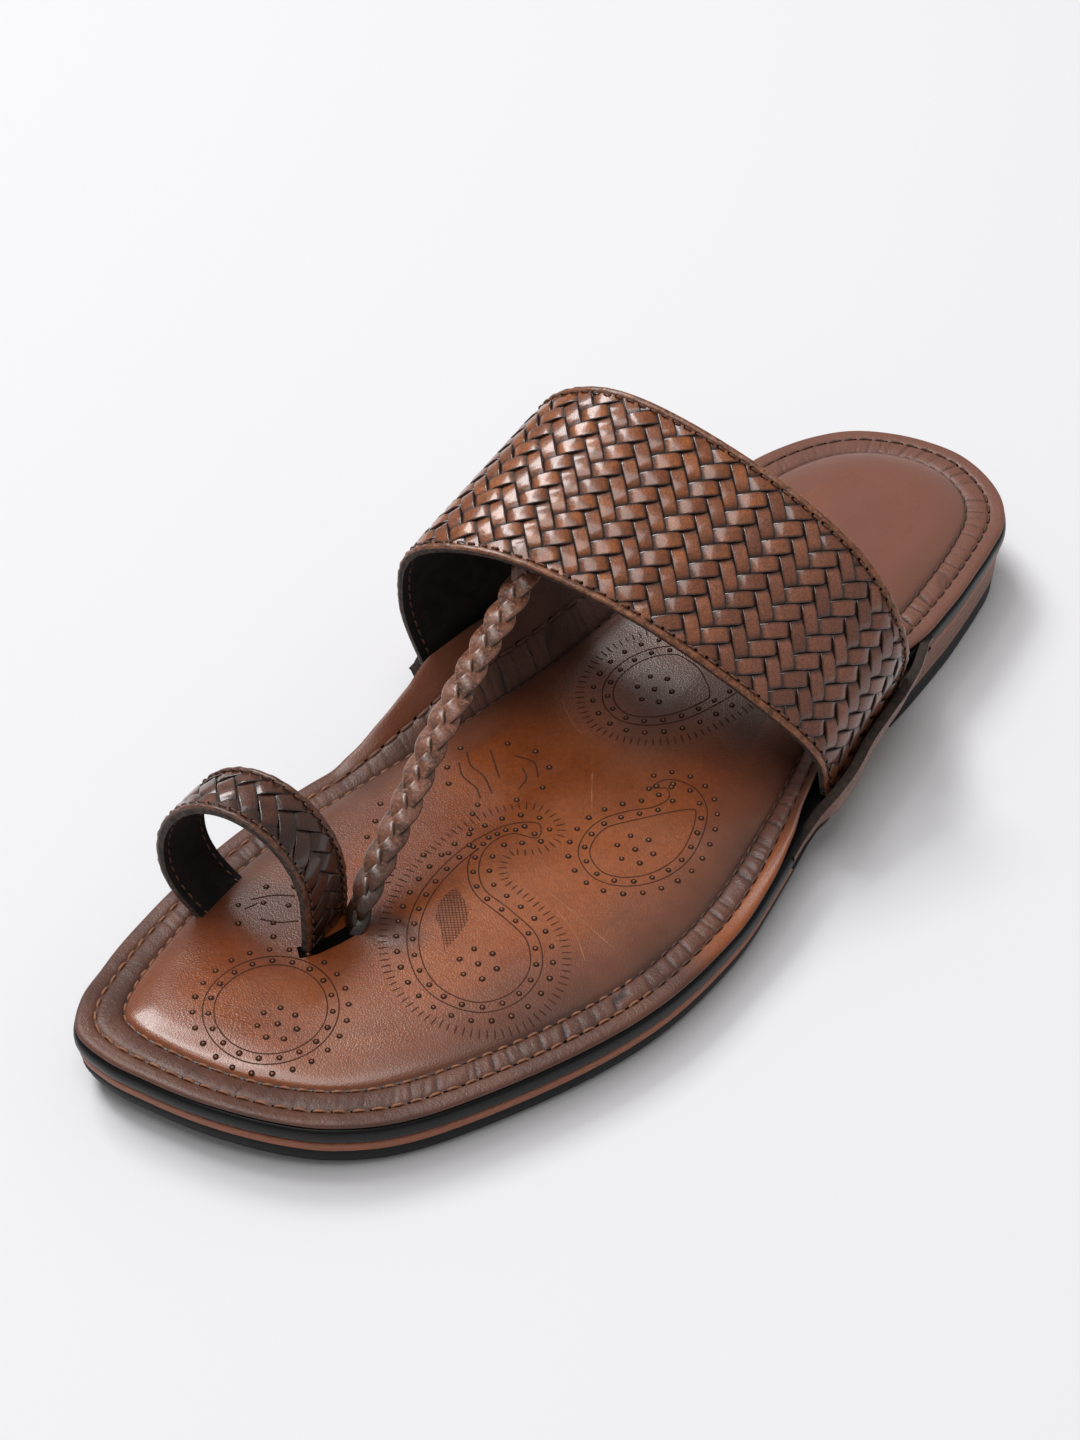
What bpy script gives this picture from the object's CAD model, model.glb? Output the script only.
import bmesh
import bpy
import math
import numpy as np
from mathutils import Matrix, Vector
from mathutils.bvhtree import BVHTree
from mathutils.kdtree import KDTree


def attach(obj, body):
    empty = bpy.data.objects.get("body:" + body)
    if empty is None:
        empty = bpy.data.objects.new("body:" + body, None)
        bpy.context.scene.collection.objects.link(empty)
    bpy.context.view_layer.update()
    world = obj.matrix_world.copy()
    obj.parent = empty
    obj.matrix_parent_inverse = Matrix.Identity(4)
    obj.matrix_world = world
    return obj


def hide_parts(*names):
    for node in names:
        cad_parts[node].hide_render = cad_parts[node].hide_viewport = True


# Kolhapuri sandal, left foot. Lengths are millimetres until toScene() turns them into metres.
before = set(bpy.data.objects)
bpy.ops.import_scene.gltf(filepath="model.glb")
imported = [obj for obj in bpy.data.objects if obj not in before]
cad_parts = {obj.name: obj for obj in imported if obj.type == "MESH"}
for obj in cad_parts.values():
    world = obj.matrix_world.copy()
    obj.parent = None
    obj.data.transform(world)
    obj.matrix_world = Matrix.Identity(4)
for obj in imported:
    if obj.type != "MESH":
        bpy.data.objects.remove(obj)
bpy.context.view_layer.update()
frameShift = np.array([0.6045, -0.0043, 0.0183])  # from the last's own axes to the frame's origin
metre = 0.001  # one millimetre in scene units
soleLength = 285.0
ballWidth = 109.0


def toScene(points):
    return (np.asarray(points, float) + frameShift) * metre


# lines of the last
outlineRows = [  # along from heel to toe, across in ball widths, minus on the big-toe side
    (0.0, 0.028), (0.04, 0.229), (0.128, 0.303), (0.226, 0.339), (0.289, 0.353), (0.367, 0.385),
    (0.423, 0.427), (0.5, 0.475), (0.575, 0.51), (0.682, 0.507), (0.805, 0.413), (0.907, 0.275),
    (0.956, 0.128), (0.991, -0.101), (0.995, -0.326), (0.925, -0.431), (0.805, -0.486), (0.71, -0.482),
    (0.64, -0.455), (0.577, -0.436), (0.5, -0.399), (0.43, -0.372), (0.332, -0.349), (0.226, -0.344),
    (0.121, -0.342), (0.033, -0.22)]
profile = {
    "y": [-142.5, -122, -100, -29, 0, 31, 54, 70, 142.5],
    "heel": [0, 0, 0, 0, 0.14, 0.5, 0.88, 1, 1],
    "toe": [1, 0.3, 0, 0, 0, 0, 0, 0, 0]}
layers = {
    "heelRise": 9.6, "toeSpring": 3.8, "outsole": 4.9, "midsole": 2.7, "rand": 4.5, "cover": 1.3,
    "topLift": 6.0, "gap": 0.3, "breastY": 66.0}
flapLines = {  # how far the cover flares out and turns up along each side
    "medial": {"y": [-48, -40, -30, -19, -9, 12, 44, 60, 74, 86],
               "out": [0, 0.2, 1, 2.8, 4.3, 5.4, 5.2, 3.2, 0, 0],
               "up": [0, 1.6, 5, 8.8, 13.2, 13.2, 11, 7, 2, 0]},
    "lateral": {"y": [-30, -11, 6, 16, 24, 38, 55, 62, 84],
                "out": [0, 0, -0.8, -2.2, -2.4, -0.8, -1.0, -1.0, 0],
                "up": [0, 1.2, 3.2, 4.6, 5, 4.4, 3, 1.8, 0]}}


def column(ys, values):
    # smooth value of a table column at y, without overshoot
    ys, values = np.array(ys, float), np.array(values, float)
    steps = np.diff(values) / np.diff(ys)
    slopes = np.zeros(len(ys))
    both = steps[:-1] * steps[1:] > 0
    slopes[1:-1][both] = 2 * steps[:-1][both] * steps[1:][both] / (steps[:-1][both] + steps[1:][both])

    def value(y):
        place = np.clip(y, ys[0], ys[-1])
        low = np.clip(np.searchsorted(ys, place, side="left") - 1, 0, len(ys) - 2)
        span = ys[low + 1] - ys[low]
        t = (place - ys[low]) / span
        start = values[low] + span * t * slopes[low]
        end = values[low + 1] - span * (1 - t) * slopes[low + 1]
        mix = t * t * (3 - 2 * t)
        return start * (1 - mix) + end * mix

    return value


heelShare = column(profile["y"], profile["heel"])
toeShare = column(profile["y"], profile["toe"])


def lift(y):
    rise = layers["heelRise"] * heelShare(y) + layers["toeSpring"] * toeShare(y)
    return layers["outsole"] + layers["gap"] + rise


def randUnder(y):
    return lift(y) + layers["midsole"] + layers["gap"]


def randTop(y):
    return randUnder(y) + layers["rand"]


def seat(y):
    return randTop(y) + layers["gap"]


def coverTop(y):
    return seat(y) + layers["cover"]


def unit(vectors):
    return vectors / np.linalg.norm(vectors, axis=-1)[..., None]


def catmull(points, count, closed=False):
    # centripetal curve through the points, read at count even steps of its own parameter
    points = np.array(points, float)
    n = len(points)
    spans = n if closed else n - 1
    place = np.linspace(0, spans, count, endpoint=not closed)
    index = np.minimum(place.astype(int), spans - 1)
    w = (place - index)[:, None]
    if closed:
        p0, p1, p2, p3 = (points[(index + k) % n] for k in (-1, 0, 1, 2))
    else:
        padded = np.vstack([2 * points[0] - points[1], points, 2 * points[-1] - points[-2]])
        p0, p1, p2, p3 = (padded[index + k] for k in (0, 1, 2, 3))

    def apart(a, b):
        return np.maximum(np.sum((a - b) ** 2, axis=1) ** 0.25, 1e-6)[:, None]

    d0, d1, d2 = apart(p0, p1), apart(p1, p2), apart(p2, p3)
    t1 = ((p1 - p0) / d0 - (p2 - p0) / (d0 + d1) + (p2 - p1) / d1) * d1
    t2 = ((p2 - p1) / d1 - (p3 - p1) / (d1 + d2) + (p3 - p2) / d2) * d1
    square = -3 * p1 + 3 * p2 - 2 * t1 - t2
    cube = 2 * p1 - 2 * p2 + t1 + t2
    return p1 + t1 * w + square * w ** 2 + cube * w ** 3


def runAlong(points, closed):
    # the line, closed if asked, and the distance run at each of its points
    line = np.vstack([points, points[:1]]) if closed else np.asarray(points, float)
    return line, np.r_[0, np.cumsum(np.linalg.norm(np.diff(line, axis=0), axis=1))]


def readAt(line, run, place):
    return np.stack([np.interp(place, run, line[:, k]) for k in range(line.shape[1])], axis=1)


def evenly(points, count, closed=False):
    # the same line with count points a constant distance apart
    line, run = runAlong(points, closed)
    return readAt(line, run, np.linspace(0, run[-1], count, endpoint=not closed))


# the sole's edge as a loop, moved in step by step
edgeSet = {"curve": 3000, "coarse": 64, "step": 0.5, "loops": 44, "keep": 5, "relax": 0.067}
outlinePlan = [(across * ballWidth, (0.5 - along) * soleLength) for along, across in outlineRows]
edgeCurve = catmull(outlinePlan, edgeSet["curve"], closed=True)
coarseEdge = np.roll(evenly(edgeCurve, edgeSet["coarse"], closed=True), 1, axis=0)


def alongLoop(loop):
    return unit(np.roll(loop, -1, axis=0) - np.roll(loop, 1, axis=0))


def outwardNormals(loop):
    way = alongLoop(loop)
    return np.stack([-way[:, 1], way[:, 0]], axis=1)


insetLoops = [coarseEdge]
for step in range(edgeSet["loops"]):
    before = insetLoops[-1]
    moved = before - outwardNormals(before) * edgeSet["step"]
    middle = (np.roll(moved, 1, axis=0) + np.roll(moved, -1, axis=0)) / 2
    insetLoops.append(moved + (middle - moved) * (edgeSet["relax"] if step > edgeSet["keep"] else 0))


def soleLoop(inset, count):
    place = inset / edgeSet["step"]
    low = int(min(place, len(insetLoops) - 2))
    loop = insetLoops[low] + (insetLoops[low + 1] - insetLoops[low]) * (place - low)
    return catmull(loop, count, closed=True)


def ringAt(inset, level, count):
    loop = soleLoop(inset, count)
    return np.column_stack([loop, level(loop[:, 1])])


def patchOf(loop, along, across):
    # inner grid of a loop of 2 * (along + across) points, blended from its four sides
    count = len(loop)
    back, front = across // 2, across // 2 + along
    u, v = np.meshgrid(np.arange(along + 1), np.arange(across + 1), indexing="ij")
    heel = loop[(v - back) % count]
    toe = loop[(front + across - v) % count]
    lateral = loop[(back + u) % count]
    medial = loop[(-back - u) % count]
    s, t = (u / along)[..., None], (v / across)[..., None]
    heelCorners = (1 - t) * heel[:1, :1] + t * heel[:1, -1:]
    toeCorners = (1 - t) * toe[:1, :1] + t * toe[:1, -1:]
    corners = (1 - s) * heelCorners + s * toeCorners
    grid = (1 - t) * medial + t * lateral + (1 - s) * heel + s * toe - corners
    index = np.full((along + 1, across + 1), -1)
    index[0] = (v[0] - back) % count
    index[-1] = (front + across - v[-1]) % count
    index[:, 0] = (-back - u[:, 0]) % count
    index[:, -1] = (back + u[:, -1]) % count
    return grid, index


def filledPatch(loop, along, across, first, stride, total, upward):
    # plan of a patch's inner points, and its quads: rim points start at first, inner points at total
    grid, index = patchOf(loop, along, across)
    inside = index < 0
    index = np.where(inside, 0, first + stride * index)
    index[inside] = total + np.arange(inside.sum())
    a, b, c, d = index[:-1, :-1], index[1:, :-1], index[1:, 1:], index[:-1, 1:]
    quads = np.stack([a, b, c, d] if upward else [a, d, c, b], axis=-1).reshape(-1, 4)
    return grid[inside], quads


def setNumbers(mesh, numbers):
    # one number for each point, by name
    for key, values in (numbers or {}).items():
        attribute = mesh.attributes.new(key, "FLOAT", "POINT")
        attribute.data.foreach_set("value", np.asarray(values, dtype=np.float32).ravel())


def setVectors(mesh, key, values):
    attribute = mesh.attributes.new(key, "FLOAT_VECTOR", "POINT")
    attribute.data.foreach_set("vector", np.asarray(values, dtype=np.float32).ravel())


def newObject(name, data):
    item = bpy.data.objects.new(name, data)
    bpy.context.scene.collection.objects.link(item)
    return item


def makePiece(name, points, faces, materials, faceMaterial=None, numbers=None, sharpAngle=None):
    mesh = bpy.data.meshes.new(name)
    mesh.from_pydata(toScene(points).tolist(), [], [list(map(int, f)) for f in faces])
    for material in materials:
        mesh.materials.append(material)
    if faceMaterial is not None:
        mesh.polygons.foreach_set("material_index", np.asarray(faceMaterial, dtype=np.int32))
    setNumbers(mesh, numbers)
    mesh.shade_smooth()
    if sharpAngle:
        mesh.set_sharp_from_angle(angle=math.radians(sharpAngle))
    mesh.update()
    return newObject(name, mesh)


def finishPiece(piece, slotName, *nodes):
    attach(piece, "root")
    if nodes:
        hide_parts(*nodes)
    return piece


def ringFaces(ringCount, count):
    i = np.arange(count)
    j = (i + 1) % count
    faces = []
    for k in range(ringCount - 1):
        a = k * count
        faces.append(np.stack([a + i, a + count + i, a + count + j, a + j], axis=1))
    return np.vstack(faces)


def tubeFaces(rows, count):
    # quads of rows of count points each, closed round, one side after another
    index = np.arange(rows * count).reshape(rows, count)
    faces, sides = [], []
    for i in range(count):
        j = (i + 1) % count
        faces += [(index[k, i], index[k, j], index[k + 1, j], index[k + 1, i]) for k in range(rows - 1)]
        sides += [i] * (rows - 1)
    return faces, sides, [tuple(index[0, ::-1]), tuple(index[-1])]


def soleLayer(rings, underLevel, topLevel, along, across):
    # closed layer: rings from the underside round the edge to the top, both ends filled with a patch
    count = 2 * (along + across)
    points = [np.vstack(rings)]
    faces = [ringFaces(len(rings), count)]
    total = len(rings) * count
    ends = ((rings[0], underLevel, 0, False), (rings[-1], topLevel, total - count, True))
    for ring, level, first, upward in ends:
        flat, quads = filledPatch(ring[:, :2], along, across, first, 1, total, upward)
        points.append(np.column_stack([flat, level(flat[:, 1])]))
        faces.append(quads)
        total += len(flat)
    return np.vstack(points), np.vstack(faces)


# materials
def shader(name, colour, roughness, **sockets):
    material = bpy.data.materials.new(name)
    material.use_nodes = True
    tree = material.node_tree
    tree.nodes.clear()
    out = tree.nodes.new("ShaderNodeOutputMaterial")
    surface = tree.nodes.new("ShaderNodeBsdfPrincipled")
    surface.inputs["Base Color"].default_value = (*colour, 1)
    surface.inputs["Roughness"].default_value = roughness
    for key, value in sockets.items():
        surface.inputs[key.replace("_", " ")].default_value = value
    tree.links.new(surface.outputs["BSDF"], out.inputs["Surface"])
    return material, surface


class Wiring:
    # short words for the nodes that the leathers share
    def __init__(self, material):
        self.tree = material.node_tree
        self.place = self.tree.nodes.new("ShaderNodeTexCoord").outputs["Object"]

    def link(self, source, target):
        if isinstance(source, (int, float)):
            target.default_value = source
        elif isinstance(source, (tuple, list)):
            target.default_value = (*source, 1) if len(source) == 3 and target.type == "RGBA" else source
        else:
            self.tree.links.new(source, target)

    def noise(self, scale, detail=3.0, rough=0.55, stretch=None):
        node = self.tree.nodes.new("ShaderNodeTexNoise")
        node.inputs["Scale"].default_value = scale
        node.inputs["Detail"].default_value = detail
        node.inputs["Roughness"].default_value = rough
        self.link(self.mapped(stretch), node.inputs["Vector"])
        return node.outputs["Fac"]

    def cells(self, scale, stretch=None):
        node = self.tree.nodes.new("ShaderNodeTexVoronoi")
        node.inputs["Scale"].default_value = scale
        self.link(self.mapped(stretch), node.inputs["Vector"])
        return node.outputs["Distance"]

    def mapped(self, stretch):
        if stretch is None:
            return self.place
        node = self.tree.nodes.new("ShaderNodeMapping")
        node.inputs["Scale"].default_value = stretch
        self.link(self.place, node.inputs["Vector"])
        return node.outputs["Vector"]

    def number(self, key):
        node = self.tree.nodes.new("ShaderNodeAttribute")
        node.attribute_name = key
        return node.outputs["Fac"]

    def maths(self, operation, a, b=0.0, clamp=False):
        node = self.tree.nodes.new("ShaderNodeMath")
        node.operation = operation
        node.use_clamp = clamp
        self.link(a, node.inputs[0])
        self.link(b, node.inputs[1])
        return node.outputs[0]

    def band(self, value, low, high, toLow=0.0, toHigh=1.0):
        node = self.tree.nodes.new("ShaderNodeMapRange")
        node.interpolation_type = "SMOOTHSTEP"
        self.link(value, node.inputs["Value"])
        for key, number in (("From Min", low), ("From Max", high), ("To Min", toLow), ("To Max", toHigh)):
            node.inputs[key].default_value = number
        return node.outputs["Result"]

    def mix(self, share, a, b, way="MIX"):
        node = self.tree.nodes.new("ShaderNodeMix")
        node.data_type = "RGBA"
        node.blend_type = way
        self.link(share, node.inputs["Factor"])
        self.link(a, node.inputs["A"])
        self.link(b, node.inputs["B"])
        return node.outputs["Result"]

    def grey(self, value):
        node = self.tree.nodes.new("ShaderNodeCombineColor")
        for key in ("Red", "Green", "Blue"):
            self.link(value, node.inputs[key])
        return node.outputs["Color"]

    def bump(self, height, depth, strength, under=None):
        node = self.tree.nodes.new("ShaderNodeBump")
        node.inputs["Strength"].default_value = strength
        node.inputs["Distance"].default_value = depth
        self.link(height, node.inputs["Height"])
        if under is not None:
            self.link(under, node.inputs["Normal"])
        return node.outputs["Normal"]

    def axis(self, name):
        node = self.tree.nodes.new("ShaderNodeSeparateXYZ")
        self.link(self.place, node.inputs[0])
        return node.outputs[name]


def scaledColour(colour, *factors):
    return tuple(c * f for c, f in zip(colour, factors * 3))


def footbedLeather(name, coat, matt):
    # calf: orange-brown and polished where rubbed, grey-brown toward the pad's edge, wrinkled on the border
    material, surface = shader(name, (0.24, 0.07, 0.02), 0.36, Specular_IOR_Level=0.5,
                               Coat_Weight=coat, Coat_Roughness=0.2)
    w = Wiring(material)
    stain = w.number("stain")
    orange = w.mix(w.band(w.noise(24, 4), 0.36, 0.66), (0.2, 0.041, 0.0058), (0.275, 0.07, 0.0145))
    fine = w.mix(w.band(w.noise(900, 2), 0.3, 0.75), (0.6, 0.6, 0.6), (1.1, 1.1, 1.1))
    orange = w.mix(0.45, orange, fine, "MULTIPLY")
    brown = w.mix(w.band(w.noise(60, 3), 0.3, 0.7), (0.07, 0.024, 0.0135), (0.116, 0.041, 0.023))
    colour = w.mix(w.band(stain, 0.0, 1.0), orange, brown)
    colour = w.mix(w.band(w.axis("Y"), 0.05, 0.085, 0, 0.6), colour, (0.21, 0.082, 0.055))
    colour = w.mix(w.band(w.number("crease"), 0.12, 0.9), colour, (0.016, 0.007, 0.005))
    w.link(colour, surface.inputs["Base Color"])
    polish = w.band(w.noise(140, 3), 0.3, 0.7, 0.26 + matt, 0.34 + matt)
    w.link(w.maths("ADD", polish, w.band(stain, 0.4, 1, 0, 0.06)), surface.inputs["Roughness"])
    normal = w.bump(w.cells(2500, (1, 0.8, 1)), 0.00009, 0.5)
    normal = w.bump(w.noise(3800, 2), 0.00004, 0.4, normal)
    wrinkles = w.maths("MULTIPLY", w.noise(420, 4, 0.65), w.band(stain, 0.75, 1))
    w.link(w.bump(wrinkles, 0.0005, 0.45, normal), surface.inputs["Normal"])
    return material


def wovenLeather(name, warm, cool, coolBand):
    # each strip is burnished: bright in the middle, stained dark along its edges and where it dips
    material, surface = shader(name, warm[1], 0.34, Specular_IOR_Level=0.3,
                               Coat_Weight=0.85, Coat_Roughness=0.16)
    w = Wiring(material)
    across = w.maths("ABSOLUTE", w.number("across"))
    along = w.maths("ABSOLUTE", w.number("along"))
    warmTone = w.mix(w.band(w.number("tint"), 0, 1), *warm)
    warmTone = w.mix(w.band(w.noise(300, 3), 0.35, 0.75), warmTone, scaledColour(warm[0], 0.65))
    coolTone = w.mix(w.band(w.number("tint"), 0, 1), *cool)
    centre = w.mix(w.band(w.axis("X"), *coolBand), warmTone, coolTone)
    worn = w.maths("ADD", w.band(across, 0.64, 1.02), w.band(along, 0.62, 1.03), clamp=True)
    colour = w.mix(worn, centre, (0.026, 0.009, 0.005))
    speck = w.band(w.noise(1900, 2), 0.3, 0.7, 0.62, 1.18)
    w.link(w.mix(0.8, colour, w.grey(speck), "MULTIPLY"), surface.inputs["Base Color"])
    w.link(w.band(w.noise(500, 3), 0.3, 0.7, 0.3, 0.44), surface.inputs["Roughness"])
    normal = w.bump(w.noise(1500, 3), 0.00012, 0.6)
    w.link(w.bump(w.cells(1700), 0.0001, 0.45, normal), surface.inputs["Normal"])
    return material


def strapLeather(name, light, dark, rough=0.4, coat=0.15, scale=1.0, darkBelow=None):
    # plain leather for straps and ears, dirty toward the floor where darkBelow gives two heights
    material, surface = shader(name, light, rough, Coat_Weight=coat, Coat_Roughness=0.28)
    w = Wiring(material)
    base = w.mix(w.band(w.noise(120 * scale, 4), 0.32, 0.68), dark, light)
    rubbed = w.mix(w.band(w.noise(1300, 2), 0.45, 0.75), base, scaledColour(light, 1.5, 1.6, 1.7))
    if darkBelow:
        rubbed = w.mix(w.band(w.axis("Z"), *darkBelow), scaledColour(dark, 0.22), rubbed)
    w.link(rubbed, surface.inputs["Base Color"])
    w.link(w.band(w.noise(700, 3), 0.3, 0.7, rough - 0.07, rough + 0.1), surface.inputs["Roughness"])
    normal = w.bump(w.cells(1300, (1, 1, 1)), 0.0001, 0.5)
    w.link(w.bump(w.noise(420, 4), 0.00022, 0.35, normal), surface.inputs["Normal"])
    return material


def cutEdge(name, light, dark, rough, depth=0.00025, stretch=(1, 1, 9)):
    # raw or stained edge of board and leather, with fibres lying along it
    material, surface = shader(name, light, rough)
    w = Wiring(material)
    fibres = w.noise(420, 4, 0.65, stretch)
    w.link(w.mix(w.band(fibres, 0.3, 0.7), dark, light), surface.inputs["Base Color"])
    normal = w.bump(fibres, depth, 0.9)
    w.link(w.bump(w.noise(1500, 3), depth * 0.6, 0.8, normal), surface.inputs["Normal"])
    return material


def suedeLining(name, light, dark):
    material, surface = shader(name, light, 0.9, Sheen_Weight=0.04, Sheen_Roughness=0.6,
                               Specular_IOR_Level=0.2)
    w = Wiring(material)
    w.link(w.mix(w.band(w.noise(260, 4), 0.35, 0.7), dark, light), surface.inputs["Base Color"])
    w.link(w.bump(w.noise(2400, 3), 0.00012, 0.7), surface.inputs["Normal"])
    return material


def flatFinish(name, colour, rough, grainScale=1200, depth=0.00008, **sockets):
    # an even finish with a little grain: rubber, board edge, thread, ink and holes
    material, surface = shader(name, colour, rough, **sockets)
    w = Wiring(material)
    cloud = w.band(w.noise(grainScale * 0.25, 3), 0.3, 0.7)
    w.link(w.mix(cloud, scaledColour(colour, 0.6), colour), surface.inputs["Base Color"])
    w.link(w.bump(w.noise(grainScale, 3), depth, 0.5), surface.inputs["Normal"])
    return material


def threadFinish(name, colour, rough):
    return flatFinish(name, colour, rough, grainScale=5000)


finish = {
    "pad": footbedLeather("padLeather", coat=0.45, matt=0.0),
    "border": footbedLeather("borderLeather", coat=0.0, matt=0.1),
    "woven": wovenLeather("bandStripLeather", warm=((0.21, 0.052, 0.0095), (0.32, 0.09, 0.0175)),
                          cool=((0.135, 0.045, 0.024), (0.2, 0.071, 0.039)), coolBand=(-0.015, 0.04)),
    "ringWoven": wovenLeather("ringStripLeather", warm=((0.075, 0.021, 0.008), (0.145, 0.043, 0.017)),
                              cool=((0.02, 0.006, 0.003), (0.045, 0.013, 0.006)), coolBand=(-0.036, -0.014)),
    "ground": strapLeather("pressedGround", (0.14, 0.05, 0.024), (0.06, 0.022, 0.012), rough=0.45),
    "rim": strapLeather("bandRimLeather", (0.2, 0.068, 0.026), (0.07, 0.022, 0.01), 0.36, 0.3, 3.5),
    "ringRim": strapLeather("ringRimLeather", (0.11, 0.038, 0.018), (0.04, 0.013, 0.007), 0.4, 0.2, 3.5),
    "braid": strapLeather("braidLeather", (0.2, 0.08, 0.046), (0.06, 0.022, 0.012), 0.34, 0.5, 2.2,
                          darkBelow=(0.018, 0.04)),
    "ear": strapLeather("earLeather", (0.17, 0.078, 0.056), (0.115, 0.05, 0.035), rough=0.5, coat=0.05),
    "earRim": cutEdge("earCutRim", (0.035, 0.018, 0.011), (0.007, 0.004, 0.003), 0.85),
    "darkEdge": cutEdge("strapCutEdge", (0.085, 0.058, 0.046), (0.012, 0.008, 0.006), 0.75,
                        depth=0.0006, stretch=(1.6, 1.6, 1.6)),
    "lining": suedeLining("suedeLining", (0.013, 0.008, 0.0065), (0.004, 0.0025, 0.002)),
    "rand": flatFinish("burnishedBoard", (0.0045, 0.0045, 0.0055), 0.34, 700, 0.00012,
                       Specular_IOR_Level=0.2, Coat_Weight=0.08, Coat_Roughness=0.15),
    "midsole": cutEdge("midsoleEdge", (0.35, 0.115, 0.052), (0.21, 0.066, 0.03), 0.5, depth=0.00012),
    "rubber": flatFinish("soleRubber", (0.007, 0.007, 0.008), 0.55, 900, 0.0001, Specular_IOR_Level=0.25),
    "stack": cutEdge("heelStackEdge", (0.25, 0.115, 0.075), (0.16, 0.07, 0.045), 0.5,
                     depth=0.00015, stretch=(1, 1, 14)),
    "thread": threadFinish("tanThread", (0.27, 0.11, 0.052), 0.6),
    "darkThread": threadFinish("brownThread", (0.13, 0.05, 0.026), 0.6),
    "wornThread": threadFinish("wornThread", (0.085, 0.038, 0.024), 0.7),
    "hole": flatFinish("needleHole", (0.004, 0.0025, 0.002), 0.95, Specular_IOR_Level=0.05),
    "engraved": flatFinish("engravedLine", (0.066, 0.021, 0.009), 0.7, Specular_IOR_Level=0.2),
    "hatched": flatFinish("hatchedLine", (0.1, 0.034, 0.014), 0.6, Specular_IOR_Level=0.2),
    "punched": flatFinish("punchedStain", (0.03, 0.011, 0.006), 0.75, Specular_IOR_Level=0.15),
    "bead": flatFinish("punchedBead", (0.3, 0.11, 0.05), 0.28),
    "scuff": flatFinish("scuffedLeather", (0.34, 0.13, 0.055), 0.4),
}
print("materials ready")

# camera, in millimetres and degrees; it looks at the target from the toe's side
cameraSet = {
    "target": (-19.16, -4.23, 20.0), "azimuth": 39.96, "elevation": 44.43, "roll": 0.35,
    "distance": 651.6, "lens": 67.875, "sensor": 36, "clip": (0.02, 20)}


def placeCamera():
    a, e, r = (math.radians(cameraSet[k]) for k in ("azimuth", "elevation", "roll"))
    back = Vector((math.sin(a) * math.cos(e), -math.cos(a) * math.cos(e), math.sin(e)))
    right = Vector((math.cos(a), math.sin(a), 0))
    up = back.cross(right)
    right, up = right * math.cos(r) + up * math.sin(r), up * math.cos(r) - right * math.sin(r)
    data = bpy.data.cameras.new("sandalCamera")
    data.lens = cameraSet["lens"]
    data.sensor_width = cameraSet["sensor"]
    data.clip_start, data.clip_end = cameraSet["clip"]
    camera = newObject("sandalCamera", data)
    camera.matrix_world = Matrix((right, up, back)).transposed().to_4x4()
    camera.location = Vector(toScene(cameraSet["target"])) + back * cameraSet["distance"] * metre
    bpy.context.scene.camera = camera


placeCamera()

# sole: every layer has its edge given as rows of inset and share of its height
soleSet = {
    "along": 144, "across": 48,
    "midsoleEdge": [(1.3, 0), (0.85, 0.06), (0.72, 0.3), (0.68, 0.7), (0.8, 0.94), (1.2, 1)],
    "randEdge": [(1.5, 0), (0.7, 0.05), (0.25, 0.16), (0.02, 0.34), (0.0, 0.58), (0.12, 0.76), (0.42, 0.9),
                 (0.9, 0.98), (1.6, 1)],
    "outsoleEdge": [(3.0, 0), (2.2, 0.06), (1.7, 0.22), (1.45, 0.5), (1.2, 0.56), (1.05, 0.62), (1.0, 0.85),
                    (1.3, 1)],
    "stackEdge": [(1.6, 0), (1.35, 0.04), (1.3, 0.29), (1.42, 0.305), (1.42, 0.325), (1.3, 0.34),
                  (1.26, 0.62), (1.38, 0.635), (1.38, 0.655), (1.22, 0.67), (1.2, 0.96), (1.5, 1)],
    "topLiftEdge": [(2.2, 0), (1.75, 0.06), (1.6, 0.2), (1.5, 0.9), (1.7, 1)],
    "skiveFrom": 4.0, "skiveRun": 30.0, "skivedTo": 0.6, "outsoleEnd": 31.0, "leastStack": 0.5,
    "cutSharp": 50}


def solePiece(name, edge, under, top, material):
    count = 2 * (soleSet["along"] + soleSet["across"])
    rings = [ringAt(inset, lambda y: under(y) + share * (top(y) - under(y)), count) for inset, share in edge]
    points, faces = soleLayer(rings, under, top, soleSet["along"], soleSet["across"])
    return makePiece(name, points, faces, [finish[material]])


def cutAcross(piece, y, keepHeel):
    # cuts a layer square across and closes the cut
    work = bmesh.new()
    work.from_mesh(piece.data)
    bmesh.ops.bisect_plane(work, geom=[*work.verts, *work.edges, *work.faces], plane_co=toScene((0, y, 0)),
                           plane_no=(0, 1, 0), clear_inner=keepHeel, clear_outer=not keepHeel)
    bmesh.ops.holes_fill(work, edges=[e for e in work.edges if e.is_boundary], sides=0)
    bmesh.ops.recalc_face_normals(work, faces=work.faces)
    work.to_mesh(piece.data)
    work.free()
    piece.data.set_sharp_from_angle(angle=math.radians(soleSet["cutSharp"]))


def buildMidsole():
    top = lambda y: lift(y) + layers["midsole"]
    piece = solePiece("midsolePiece", soleSet["midsoleEdge"], lift, top, "midsole")
    finishPiece(piece, "leather_edge", "midsole")


def buildRand():
    piece = solePiece("randPiece", soleSet["randEdge"], randUnder, randTop, "rand")
    finishPiece(piece, "board_black", "rand")


def buildOutsole():
    # the forepart rubber ends in a thin skived edge in the waist
    def under(y):
        skive = np.clip((y - soleSet["skiveFrom"]) / soleSet["skiveRun"], 0, 1)
        flat = lift(y) - layers["gap"] - layers["outsole"]
        return flat + (layers["outsole"] - soleSet["skivedTo"]) * skive * skive * (3 - 2 * skive)

    top = lambda y: lift(y) - layers["gap"]
    piece = solePiece("outsolePiece", soleSet["outsoleEdge"], under, top, "rubber")
    cutAcross(piece, soleSet["outsoleEnd"], keepHeel=False)
    finishPiece(piece, "rubber_black", "outsole")


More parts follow.
